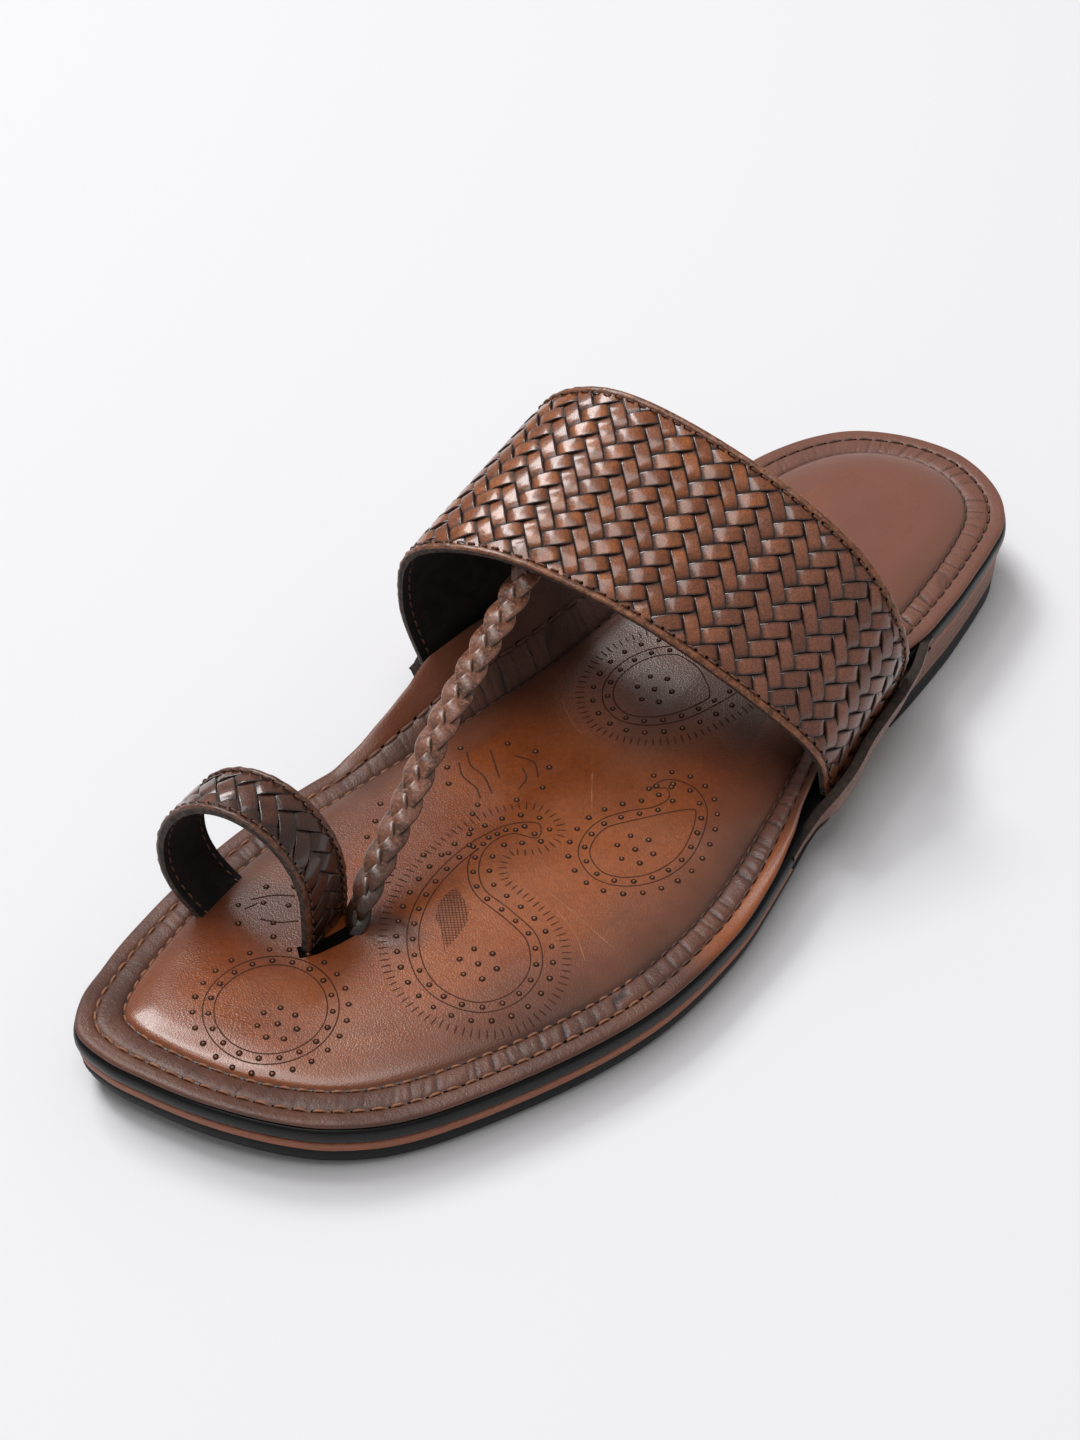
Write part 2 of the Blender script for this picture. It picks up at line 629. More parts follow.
def buildHeel():
    stackUnder = lambda y: y * 0 + layers["topLift"] + layers["gap"]
    stackTop = lambda y: np.maximum(lift(y) - layers["gap"], stackUnder(y) + soleSet["leastStack"])
    stack = solePiece("heelStackPiece", soleSet["stackEdge"], stackUnder, stackTop, "stack")
    cutAcross(stack, layers["breastY"], keepHeel=True)
    finishPiece(stack, "leather_edge", "heel_stack")
    floorLevel = lambda y: y * 0
    liftTop = lambda y: y * 0 + layers["topLift"]
    topLift = solePiece("heelLiftPiece", soleSet["topLiftEdge"], floorLevel, liftTop, "rubber")
    cutAcross(topLift, layers["breastY"], keepHeel=True)
    finishPiece(topLift, "rubber_black", "heel_top_lift")


buildMidsole()
buildRand()
buildOutsole()
buildHeel()
print("sole layers built")

# footbed: insets count in from the sole's edge, over the border and the channel to the pad
footbedSet = {
    "padRise": 3.4, "dome": 0.8, "outerSeam": 4.5, "innerSeam": 9.5, "seamDip": 0.35, "seamWidth": 0.32,
    "channelPuff": 0.4, "gather": 0.42, "lip": 0.1, "along": 260, "across": 80,
    "perimeter": 700.0,  # about the length of the seam
    "insets": [0.7, 0.75, 0.95, 1.4, 2.2, 3.2, 3.9, 4.25, 4.5, 4.8, 5.3, 6.0, 6.8, 7.6, 8.4, 9.0, 9.35, 9.55,
               9.9, 10.4, 11.1, 12.0, 13.1, 14.4, 15.8, 17.2, 18.8, 20.5],
    "padRows": [(9.4, 0), (9.7, 0.45), (10.3, 0.98), (11.2, 1.5), (12.4, 2.0), (14.4, 2.65), (17.2, 3.14),
                (20.5, 3.4), (40, 3.4)],
    "wander": [(2.4, 53, 0), (1.5, 23, 1), (0.5, 9.1, 2)],  # how the gathers stray along the channel
    "busy": {"y": [-142, -128, -105, -60, 60, 142], "share": [0.25, 0.4, 0.85, 1.1, 1.0, 0.6]}}
padHeight = column(*zip(*footbedSet["padRows"]))  # rise of the pad over the flat border


def flapShare(inset):
    return np.interp(inset, [0.7, 4.5, 9.5], [1.0, 0.42, 0.0])


def waves(s, rows):
    # sum of waves, each of a height, a length and a phase
    return sum(a * np.sin(2 * math.pi * s / length + phase) for a, length, phase in rows)


def coverPoints(inset, level, count):
    # a ring of the cover: near the edge it follows the flared, turned-up flaps
    loop, edge = soleLoop(inset, count), soleLoop(0, count)
    medial, y = edge[:, 0] < 0, edge[:, 1]
    share = flapShare(inset)
    values = {}
    for key in ("out", "up"):
        sides = {side: column(rows["y"], rows[key])(y) for side, rows in flapLines.items()}
        values[key] = np.where(medial, sides["medial"], sides["lateral"])
    flat = loop + outwardNormals(edge) * (share * values["out"])[:, None]
    return np.column_stack([flat, level(loop[:, 1]) + share * values["up"]])


def footbedDetail(inset, count):
    # height added to the cover, and its darkness: seams, puffed channel, gathers across it
    spec = footbedSet
    s = np.linspace(0, spec["perimeter"], count, endpoint=False)
    edge = soleLoop(0, count)
    lateral = edge[:, 0] > 0
    seams = sum(np.exp(-((inset - spec[k]) / spec["seamWidth"]) ** 2) for k in ("outerSeam", "innerSeam"))
    inside = np.clip((inset - spec["outerSeam"]) / (spec["innerSeam"] - spec["outerSeam"]), 0, 1)
    arch = math.sin(math.pi * inside)
    bent = s + 0.35 * inset + waves(s, spec["wander"])
    valley = lambda length, sharp: np.exp(-(np.sin(math.pi * bent / length) / sharp) ** 2)
    folds = 0.35 - 1.15 * valley(5.6, 0.2) - 0.55 * valley(3.3, 0.22)
    folds += 0.12 * waves(bent, [(1, 2.1, 0.4), (0.6, 1.6, 2)])
    busy = 0.45 + waves(s, [(0.35, 87, 0.6)]) + np.where(lateral, 0.35, 0.15)
    busy = busy * np.interp(edge[:, 1], spec["busy"]["y"], spec["busy"]["share"])
    gathers = spec["gather"] * busy * folds * arch ** 0.5
    lip = spec["lip"] * math.sin(math.pi * inset / spec["outerSeam"]) if inset < spec["outerSeam"] else 0
    burnish = 0.3 * min(1, inside * 6) * (inset < 9.6)
    dark = np.clip(-gathers / spec["gather"] * 0.75 + burnish, 0, 1) + 0.45 * seams
    return spec["channelPuff"] * arch ** 0.7 + gathers - spec["seamDip"] * seams + lip, dark


def coverRings(count):
    # rings from the underside round the edge to the pad's shoulder, each with its stain and creases
    under = [coverPoints(inset, seat, count) for inset in (9.5, 4.5, 0.9)]
    edge = ((0.7, 0.25), (0.68, 0.8))
    side = [coverPoints(inset, lambda y: seat(y) + height, count) for inset, height in edge]
    rings = [(ring, np.full(count, 1.0), np.full(count, 0.25)) for ring in under + side]
    padFrom = len(rings)
    for inset in footbedSet["insets"]:
        ring = coverPoints(inset, coverTop, count)
        detail, dark = footbedDetail(inset, count)
        rise = float(padHeight(inset)) if inset > footbedSet["padRows"][0][0] else 0.0
        rounding = -0.5 * max(0, 1 - (inset - 0.7) / 0.8) ** 2
        ring[:, 2] += rise + rounding + detail
        rings.append((ring, borderStain(inset, ring), dark))
        padFrom += inset < footbedSet["innerSeam"]
    return rings, padFrom


def withSkipped(quads, first, count):
    # a patch's rim uses every second point of its ring: the points between are put back into its faces
    faces = []
    for corners in quads.tolist():
        face = []
        for p, q in zip(corners, corners[1:] + corners[:1]):
            face.append(p)
            onRing = first <= min(p, q) and max(p, q) < first + count
            if onRing and abs(p - q) == 2:
                face.append(min(p, q) + 1)
            elif onRing and abs(p - q) == count - 2:
                face.append(first + count - 1)
        faces.append(face)
    return faces


def crownHeight(flat, depth):
    # the pad's domed top with a faint hand-made unevenness
    x, y = flat[:, 0], flat[:, 1]
    crown = footbedSet["dome"] * np.clip(depth / 22, 0, 1) ** 0.8
    uneven = 0.12 * np.sin(x / 9) * np.sin(y / 13) * np.clip(depth / 6, 0, 1)
    return coverTop(y) + footbedSet["padRise"] + crown + uneven


def distanceTo(loop, flat):
    tree = KDTree(len(loop))
    for i, p in enumerate(loop):
        tree.insert((p[0], p[1], 0), i)
    tree.balance()
    return np.array([tree.find((p[0], p[1], 0))[2] for p in flat])


def buildFootbed():
    spec = footbedSet
    along, across = spec["along"], spec["across"]
    count = 2 * (along + across)
    fine = 2 * count
    pad, border = 0, 1
    rings, padFrom = coverRings(fine)
    points, stain, crease = (np.concatenate(rows) for rows in zip(*rings))
    faces = ringFaces(len(rings), fine).tolist()
    finishes = [pad if k >= padFrom else border for k in range(len(rings) - 1) for _ in range(fine)]
    # the pad's crown, on every second point of the last ring
    last, inner = len(points) - fine, soleLoop(spec["insets"][-1], count)
    flat, quads = filledPatch(inner, along, across, last, 2, len(points), upward=True)
    depth = distanceTo(inner, flat)
    points = np.vstack([points, np.column_stack([flat, crownHeight(flat, depth)])])
    stain = np.concatenate([stain, padStain(flat, depth)])
    crease = np.concatenate([crease, np.zeros(len(flat))])
    faces += withSkipped(quads, last, fine)
    finishes += [pad] * len(quads)
    # the underside, on every second point of the first ring
    under = soleLoop(spec["innerSeam"], count)
    flat, quads = filledPatch(under, along, across, 0, 2, len(points), upward=False)
    points = np.vstack([points, np.column_stack([flat, seat(flat[:, 1])])])
    stain = np.concatenate([stain, np.ones(len(flat))])
    crease = np.concatenate([crease, np.zeros(len(flat))])
    faces += withSkipped(quads, 0, fine)
    finishes += [border] * len(quads)
    piece = makePiece("footbedPad", points, faces, [finish["pad"], finish["border"]], finishes,
                      {"stain": stain, "crease": crease})
    finishPiece(piece, "leather_brown", "footbed")
    return piece


def borderStain(inset, ring):
    # border and channel are stained, except where the edge is rubbed; the pad clears toward the toe
    x, y = ring[:, 0], ring[:, 1]
    if inset < 4.4:
        lateral = 1 - 0.75 * np.exp(-((y + 14) / 24) ** 4)
        medial = 1 - 0.5 * np.exp(-((y + 18) / 30) ** 4)
        return np.where(x > 0, lateral, medial)
    if inset < 9.8:
        return np.full(len(ring), 1.0)
    return np.interp(inset, [9.8, 13, 20], [0.95, 0.75, 0.5]) * towardToe(y)


def towardToe(y):
    return np.interp(y, [-122, -84], [0.35, 1])


def padStain(flat, depth):
    # darker toward the edge, under the straps, at the heel and on the hatched leaf
    x, y = flat[:, 0], flat[:, 1]
    edge = np.interp(depth, [0, 4, 14], [0.5, 0.3, 0.0]) * towardToe(y)
    band = 0.75 * np.exp(-((y - 28 - 0.25 * x) / 26) ** 2) * np.interp(x, [-40, -16, 2], [0.1, 0.3, 1])
    heel = np.interp(y, [60, 84], [0, 0.4])
    ring = 0.5 * np.exp(-(((x + 30) / 13) ** 2 + ((y + 88) / 13) ** 2))
    foot = 1.2 * np.exp(-(((x + 2 - 0.3 * (y + 76)) / 8) ** 2 + ((y + 76) / 6) ** 2))
    hatch = 0.6 * np.exp(-(((x - 3) / 4.2) ** 2 + ((y + 63) / 8) ** 2) ** 1.5)
    cloud = 0.14 * np.sin(x / 11 + 1) * np.sin(y / 17 + 2) + 0.08 * np.sin(x / 5 + y / 7)
    return np.clip(np.maximum.reduce([edge, band, heel, ring, foot, hatch]) + cloud, 0, 1)


footbed = buildFootbed()
print("footbed built", len(footbed.data.polygons))

# geometry node trees
class NodeTree:
    # a geometry node group with named inputs, and one-line wiring
    def __init__(self, name, inputs):
        self.group = bpy.data.node_groups.new(name, "GeometryNodeTree")
        face = self.group.interface
        face.new_socket("Geometry", in_out="INPUT", socket_type="NodeSocketGeometry")
        face.new_socket("Geometry", in_out="OUTPUT", socket_type="NodeSocketGeometry")
        for key, (kind, value) in inputs.items():
            socket = face.new_socket(key, in_out="INPUT", socket_type="NodeSocket" + kind)
            if value is not None:
                socket.default_value = value
        self.start = self.group.nodes.new("NodeGroupInput")
        self.end = self.group.nodes.new("NodeGroupOutput")

    def get(self, key):
        return self.start.outputs[key]

    def add(self, kind, output=0, settings=None, **inputs):
        node = self.group.nodes.new(kind)
        for key, value in (settings or {}).items():
            setattr(node, key, value)
        for key, value in inputs.items():
            if key.startswith("in"):
                socket = node.inputs[int(key[2:])]
            else:
                socket = [s for s in node.inputs if s.name == key.replace("_", " ") and s.enabled][0]
            if isinstance(value, bpy.types.NodeSocket):
                self.group.links.new(value, socket)
            else:
                socket.default_value = value
        if isinstance(output, str):
            return [s for s in node.outputs if s.name == output and s.enabled][0]
        return [s for s in node.outputs if s.enabled][output]

    def maths(self, operation, a, b=0.0):
        return self.add("ShaderNodeMath", settings={"operation": operation}, in0=a, in1=b)

    def vector(self, operation, a, b=(0, 0, 0)):
        return self.add("ShaderNodeVectorMath", settings={"operation": operation}, in0=a, in1=b)

    def scaled(self, a, factor):
        return self.add("ShaderNodeVectorMath", settings={"operation": "SCALE"}, in0=a, Scale=factor)

    def random(self, low, high, seed):
        return self.add("FunctionNodeRandomValue", settings={"data_type": "FLOAT"}, Min=low, Max=high,
                        Seed=seed)

    def named(self, key, kind="FLOAT"):
        return self.add("GeometryNodeInputNamedAttribute", settings={"data_type": kind}, Name=key)

    def store(self, geometry, key, value, domain="INSTANCE"):
        return self.add("GeometryNodeStoreNamedAttribute", settings={"data_type": "FLOAT", "domain": domain},
                        Geometry=geometry, Name=key, Value=value)

    def away(self, mesh, place):
        # distance from the faces of a mesh
        return self.add("GeometryNodeProximity", "Distance", settings={"target_element": "FACES"},
                        in0=mesh, Sample_Position=place)

    def without(self, geometry, domain, distance, reach):
        # leaves out what lies farther than the reach
        return self.add("GeometryNodeDeleteGeometry", settings={"domain": domain}, Geometry=geometry,
                        Selection=self.maths("GREATER_THAN", distance, reach))

    def finish(self, geometry):
        solid = self.add("GeometryNodeRealizeInstances", Geometry=geometry)
        done = self.add("GeometryNodeSetMaterial", Geometry=solid, Material=self.get("Finish"))
        self.group.links.new(done, self.end.inputs[0])


def runTree(name, source, tree, values):
    # evaluates the tree on the source object and keeps the result as a plain mesh
    modifier = source.modifiers.new("grown", "NODES")
    modifier.node_group = tree.group
    sockets = {s.name: s.identifier for s in tree.group.interface.items_tree if s.in_out == "INPUT"}
    for key, value in values.items():
        modifier[sockets[key]] = value
    bpy.context.view_layer.update()
    depsgraph = bpy.context.evaluated_depsgraph_get()
    mesh = bpy.data.meshes.new_from_object(source.evaluated_get(depsgraph), depsgraph=depsgraph)
    source.modifiers.remove(modifier)
    mesh.name = name
    mesh.materials.clear()
    mesh.materials.append(values["Finish"])
    mesh.shade_smooth()
    return newObject(name, mesh)


def markTree():
    # marks set at a pitch along lines that carry the direction away from the surface
    tree = NodeTree("markAlongLine", {
        "Mark": ("Object", None), "Pitch": ("Float", 0.004), "Turn": ("Float", 0.0),
        "Turn jitter": ("Float", 0.0), "Size jitter": ("Float", 0.0), "Seed": ("Int", 1),
        "Finish": ("Material", None)})
    line = tree.add("GeometryNodeMeshToCurve", Mesh=tree.get("Geometry"))
    line = tree.add("GeometryNodeResampleCurve", settings={"mode": "LENGTH"}, Curve=line,
                    Length=tree.get("Pitch"))
    facing = tree.add("FunctionNodeAxesToRotation", settings={"primary_axis": "Z", "secondary_axis": "X"},
                      Primary_Axis=tree.named("away", "FLOAT_VECTOR"),
                      Secondary_Axis=tree.add("GeometryNodeInputTangent"))
    turned = tree.maths("MULTIPLY", tree.random(-1.0, 1.0, tree.get("Seed")), tree.get("Turn jitter"))
    spin = tree.add("FunctionNodeAxisAngleToRotation", Axis=(0, 0, 1),
                    Angle=tree.maths("ADD", tree.get("Turn"), turned))
    facing = tree.add("FunctionNodeRotateRotation", settings={"rotation_space": "LOCAL"},
                      Rotation=facing, Rotate_By=spin)
    grown = tree.random(-1.0, 1.0, tree.maths("ADD", tree.get("Seed"), 7.0))
    size = tree.maths("ADD", tree.maths("MULTIPLY", grown, tree.get("Size jitter")), 1.0)
    mark = tree.add("GeometryNodeObjectInfo", "Geometry", Object=tree.get("Mark"), As_Instance=True)
    tree.finish(tree.add("GeometryNodeInstanceOnPoints", Points=line, Instance=mark, Rotation=facing,
                         Scale=size))
    return tree


def ribbonTree():
    # a flat ribbon lying on a surface along lines that carry the direction away from it
    tree = NodeTree("ribbonAlongLine", {
        "Width": ("Float", 0.0004), "Lift": ("Float", 0.00004), "Finish": ("Material", None)})
    line = tree.add("GeometryNodeMeshToCurve", Mesh=tree.get("Geometry"))
    line = tree.add("GeometryNodeSetCurveNormal", settings={"mode": "FREE"}, Curve=line,
                    Normal=tree.named("away", "FLOAT_VECTOR"))
    half = tree.maths("MULTIPLY", tree.get("Width"), 0.5)
    left = tree.add("ShaderNodeCombineXYZ", X=tree.get("Lift"), Y=half)
    right = tree.add("ShaderNodeCombineXYZ", X=tree.get("Lift"), Y=tree.maths("MULTIPLY", half, -1.0))
    profileLine = tree.add("GeometryNodeCurvePrimitiveLine", Start=left, End=right)
    tree.finish(tree.add("GeometryNodeCurveToMesh", Curve=line, Profile_Curve=profileLine))
    return tree


def weaveTree():
    # one family of floats: a lattice of tiles laid flat, then carried onto the strap by a flat guide
    tree = NodeTree("wovenFloats", {
        "Tile": ("Object", None), "Guide": ("Object", None), "Columns": ("Int", 20), "Rows": ("Int", 10),
        "First centre": ("Vector", (0, 0, 0)), "Column step": ("Vector", (0, 0, 0)),
        "Row step": ("Vector", (0, 0, 0)), "Turn": ("Float", 0.0), "Turn jitter": ("Float", 0.03),
        "Base height": ("Float", 0.0015), "Seed": ("Int", 1), "Finish": ("Material", None)})
    rows = tree.get("Rows")
    index = tree.add("GeometryNodeInputIndex")
    col = tree.maths("FLOOR", tree.maths("DIVIDE", index, rows))
    row = tree.maths("SUBTRACT", index, tree.maths("MULTIPLY", col, rows))
    row = tree.maths("SUBTRACT", row, tree.maths("FLOOR", tree.maths("DIVIDE", rows, 2.0)))
    place = tree.vector("ADD", tree.get("First centre"), tree.scaled(tree.get("Column step"), col))
    place = tree.vector("ADD", place, tree.scaled(tree.get("Row step"), row))
    points = tree.add("GeometryNodePoints", Position=place,
                      Count=tree.maths("MULTIPLY", tree.get("Columns"), rows))
    guide = tree.add("GeometryNodeObjectInfo", "Geometry", Object=tree.get("Guide"), As_Instance=False)
    position = tree.add("GeometryNodeInputPosition")
    points = tree.without(points, "POINT", tree.away(guide, position), 0.0052)
    turned = tree.maths("MULTIPLY", tree.random(-1.0, 1.0, tree.get("Seed")), tree.get("Turn jitter"))
    facing = tree.add("FunctionNodeAxisAngleToRotation", Axis=(0, 0, 1),
                      Angle=tree.maths("ADD", tree.get("Turn"), turned))
    tile = tree.add("GeometryNodeObjectInfo", "Geometry", Object=tree.get("Tile"), As_Instance=True)
    tiles = tree.add("GeometryNodeInstanceOnPoints", Points=points, Instance=tile, Rotation=facing)
    tiles = tree.store(tiles, "tint", tree.random(0.0, 1.0, tree.maths("ADD", tree.get("Seed"), 11.0)))
    mesh = tree.add("GeometryNodeRealizeInstances", Geometry=tiles)
    split = tree.group.nodes.new("ShaderNodeSeparateXYZ")
    tree.group.links.new(position, split.inputs[0])
    flat = tree.add("ShaderNodeCombineXYZ", X=split.outputs[0], Y=split.outputs[1])
    mesh = tree.without(mesh, "FACE", tree.away(guide, flat), 0.0004)

    def fromGuide(key, kind):
        return tree.add("GeometryNodeSampleNearestSurface", settings={"data_type": kind}, Mesh=guide,
                        Value=tree.named(key, kind), Sample_Position=flat)

    raised = tree.maths("MULTIPLY", split.outputs[2], fromGuide("press", "FLOAT"))
    outward = tree.scaled(fromGuide("outward", "FLOAT_VECTOR"),
                          tree.maths("ADD", tree.get("Base height"), raised))
    carried = tree.vector("ADD", fromGuide("home", "FLOAT_VECTOR"), outward)
    mesh = tree.add("GeometryNodeSetPosition", Geometry=mesh, Position=carried)
    tree.finish(tree.add("GeometryNodeSetShadeSmooth", Geometry=mesh, Shade_Smooth=True))
    return tree


marksTree, ribbonsTree, weavingTree = markTree(), ribbonTree(), weaveTree()


def lineSource(name, lines, closed=False):
    # lines of points with their directions away, joined as edges; the directions become a point attribute
    points, ups, edges = [], [], []
    for line, away in lines:
        first = len(points)
        points += [tuple(p) for p in toScene(line)]
        ups += [tuple(v) for v in away]
        edges += [(first + i, first + i + 1) for i in range(len(line) - 1)]
        if closed:
            edges.append((len(points) - 1, first))
    mesh = bpy.data.meshes.new(name)
    mesh.from_pydata(points, edges, [])
    setVectors(mesh, "away", ups)
    return newObject(name, mesh)


def drop(*objects):
    for item in objects:
        mesh = item.data
        bpy.data.objects.remove(item)
        bpy.data.meshes.remove(mesh)


def markMesh(name, points, faces, numbers=None):
    # a mark or tile round its own origin, in millimetres, x along the line and z away from the surface
    mesh = bpy.data.meshes.new(name)
    mesh.from_pydata((np.asarray(points, float) * metre).tolist(), [], [list(map(int, f)) for f in faces])
    setNumbers(mesh, numbers)
    mesh.shade_smooth()
    return newObject(name, mesh)


def turnedFaces(ringCount, count):
    # ringFaces wound the other way
    return ringFaces(ringCount, count)[:, [0, 3, 2, 1]]


def stitchMark(name, length, thick, rise=0.3, sides=6, steps=6, dive=0.35):
    # a thread laid over the leather, its ends going down into their holes
    points = []
    for k in range(steps + 1):
        t = 2 * k / steps - 1
        radius = thick / 2 * (1 - 0.45 * abs(t) ** 5)
        z = rise * (1 - abs(t) ** 2.6) - dive * abs(t) ** 4
        for i in range(sides):
            a = 2 * math.pi * i / sides
            points.append((t * length / 2, radius * math.cos(a), z + radius * 0.85 * math.sin(a)))
    ends = [tuple(range(sides)), tuple(reversed(range(steps * sides, (steps + 1) * sides)))]
    return markMesh(name, points, ringFaces(steps + 1, sides).tolist() + ends)


def discMark(name, radii, heights, sides, stretch=1.0):
    # rings of a small round mark, the last one closed by a face
    points = []
    for r, h in zip(radii, heights):
        for i in range(sides):
            a = 2 * math.pi * i / sides
            points.append((r * stretch * math.cos(a), r * math.sin(a), h))
    top = tuple(range((len(radii) - 1) * sides, len(radii) * sides))
    return markMesh(name, points, turnedFaces(len(radii), sides).tolist() + [top])


def stitchLine(name, slotName, lines, thread, pitch, length, thick, closed=False, holes=True, seed=1,
               rise=0.3, jitter=0.06, holeLift=0.02):
    # one row of stitches, and the needle holes between them
    source = lineSource(name + "Path", lines, closed)
    mark = stitchMark(name + "Mark", length, thick, rise)
    values = {"Mark": mark, "Pitch": pitch * metre, "Turn": 0.0, "Turn jitter": jitter, "Size jitter": 0.06,
              "Seed": seed, "Finish": thread}
    finishPiece(runTree(name, source, marksTree, values), slotName)
    if holes:
        moved = [(halfStep(points, pitch, closed), away) for points, away in lines]
        shifted = lineSource(name + "HolePath", moved, closed)
        wide = 0.68 * thick
        heights = (holeLift, holeLift + 0.02, holeLift - 0.02)
        hole = discMark(name + "HoleMark", (wide, wide * 0.8, wide * 0.4), heights, 8, 1.25)
        values.update({"Mark": hole, "Turn jitter": 0.3, "Size jitter": 0.2, "Seed": seed + 3,
                       "Finish": finish["hole"]})
        finishPiece(runTree(name + "Holes", shifted, marksTree, values), slotName)
        drop(shifted, hole)
    drop(source, mark)


def halfStep(points, pitch, closed):
    # the same line moved half a pitch along itself
    line, run = runAlong(points, closed)
    place = run[:len(points)] + pitch / 2
    return readAt(line, run, place % run[-1] if closed else np.minimum(place, run[-1]))


# instep band and toe ring
bandSet = {
    "front": [(45.4, 21.5, 17.3), (43.2, 19.8, 29), (28, 13, 43.8), (-3, 2, 60.5), (-33, -7.5, 66),
              (-51.2, -12.5, 58.5), (-55, -12.5, 41), (-49.8, -9, 16.8)],
    "back": [(38.8, 60, 23), (41.2, 57.6, 38.6), (30.8, 55, 58.8), (2, 49.8, 75.18), (-35, 41, 84),
             (-50, 37, 75.6), (-52.8, 36, 56.28), (-44.6, 38, 22.4)],
    "around": 150, "across": 30, "lining": 1.0, "shell": 1.4, "seamIn": 2.3, "middle": 2.7,
    "stepA": (-2.83, 2.23), "stepB": (-2.53, -2.97), "phase": (88.5, 4.3), "snug": 0.985,
    "weave": {"columns": 21, "rows": 40, "base": 1.1, "jitter": 0.022, "finish": "woven"},
    "rim": {"width": 1.75, "level": 1.95, "finish": "rim"},
    "stitch": {"in": 0.35, "level": 1.9, "pitch": 3.0, "length": 2.1, "liningLength": 2.3, "thick": 0.5,
               "holeLift": 0.12, "seeds": (4, 6)}}
ringSet = {
    "frontY": -97.1, "backY": -82.4, "mid": (-29.6, -31.7), "half": (16.7, 16.7), "widest": (32.4, 31.9),
    "rise": (20.6, 20.6), "skew": 0.26, "footZ": 12.0, "turnIn": (14.8, 1.5), "legBend": 2.4,
    "legShare": 0.23, "around": 110, "across": 14, "lining": 1.0, "shell": 1.6, "seamIn": 1.7,
    "middle": 2.8, "cell": 4.2, "phase": 3.0, "snug": 0.97,
    "weave": {"columns": 15, "rows": 60, "base": 1.3, "jitter": 0.025, "finish": "ringWoven"},
    "rim": {"width": 1.35, "level": 2.15, "finish": "ringRim"},
    "stitch": {"in": 0.2, "level": 2.1, "pitch": 2.7, "length": 1.9, "liningLength": 2.0, "thick": 0.45,
               "holeLift": 0.1, "seeds": (8, 9)}}


def bandSurface():
    around = bandSet["around"] + 1
    s = np.linspace(0, 1, bandSet["across"] + 1)[None, :, None]
    front, back = catmull(bandSet["front"], around), catmull(bandSet["back"], around)
    return front[:, None] + (back - front)[:, None] * s


def ringSurface():
    # two legs and a round top, from the lateral side over to the medial one
    r = ringSet
    t = np.linspace(0, 1, r["around"] + 1)[:, None]
    s = np.linspace(0, 1, r["across"] + 1)[None, :]
    sign, along = np.where(t < 0.5, 1.0, -1.0), np.minimum(t, 1 - t)
    leg = np.maximum(1 - along / r["legShare"], 0)
    angle = math.pi / 2 * (1 - np.maximum(along - r["legShare"], 0) / (0.5 - r["legShare"]))
    inward = np.where(sign > 0, r["turnIn"][1], r["turnIn"][0]) * leg ** r["legBend"]
    between = lambda pair: pair[0] + (pair[1] - pair[0]) * s
    mid, widest = between(r["mid"]), between(r["widest"])
    x = mid + sign * (between(r["half"]) * np.sin(angle) - inward)
    z = widest + between(r["rise"]) * np.cos(angle) - leg * (widest - r["footZ"])
    y = between((r["frontY"], r["backY"])) + r["skew"] * (x - mid)
    return np.stack([x, y + 0 * z, z], axis=-1)


def gridNormals(grid):
    normal = unit(np.cross(np.gradient(grid, axis=0), np.gradient(grid, axis=1)))
    middle = normal[len(normal) // 2, normal.shape[1] // 2]
    return normal if middle[2] > 0 else -normal


def unrolled(grid):
    # lays the strap flat without stretching: rungs keep their length, and the middle line runs straight
    front, back = grid[:, 0], grid[:, -1]
    apart = lambda a, b: np.linalg.norm(a - b)
    flatFront, flatBack = [np.array([0.0, 0.0])], [np.array([0.0, apart(back[0], front[0])])]

    def third(a, b, fromA, fromB):
        # corner of a triangle on the side a to b, from its two other sides
        length = apart(b, a)
        along = (fromA ** 2 - fromB ** 2 + length ** 2) / (2 * length)
        off = math.sqrt(max(fromA ** 2 - along ** 2, 0))
        way = (b - a) / length
        return a + way * along + np.array([way[1], -way[0]]) * off

    for k in range(1, len(grid)):
        a, b = flatFront[-1], flatBack[-1]
        corner = third(a, b, apart(front[k], front[k - 1]), apart(front[k], back[k - 1]))
        flatFront.append(corner)
        flatBack.append(third(corner, b, apart(back[k], front[k]), apart(back[k], back[k - 1])))
    flatFront, flatBack = np.array(flatFront), np.array(flatBack)
    middle = (flatFront + flatBack) / 2
    run = unit(middle[-1] - middle[0])
    turn = np.array([[run[0], run[1]], [-run[1], run[0]]])
    flatFront, flatBack = (flatFront - middle[0]) @ turn.T, (flatBack - middle[0]) @ turn.T
    if flatFront[len(flatFront) // 2, 1] > flatBack[len(flatBack) // 2, 1]:
        flatFront, flatBack = flatFront * (1, -1), flatBack * (1, -1)
    share = np.linspace(0, 1, grid.shape[1])[None, :, None]
    return flatFront[:, None] + (flatBack - flatFront)[:, None] * share


def edgeDistances(flat):
    # distance of each point of the flat strap from its long edges
    width = np.linalg.norm(flat[:, -1] - flat[:, 0], axis=-1)[:, None]
    s = np.linspace(0, 1, flat.shape[1])[None, :]
    return np.minimum(s, 1 - s) * width


def pressShape(distance, seamIn):
    # the weave is pinched along its stitching and pressed flat toward the cut edge
    rows = [(0, 0.5), (seamIn - 0.9, 0.5), (seamIn, 0.28), (seamIn + 0.9, 0.62), (seamIn + 2.4, 1.0),
            (60, 1.0)]
    return column(*zip(*rows))(distance)


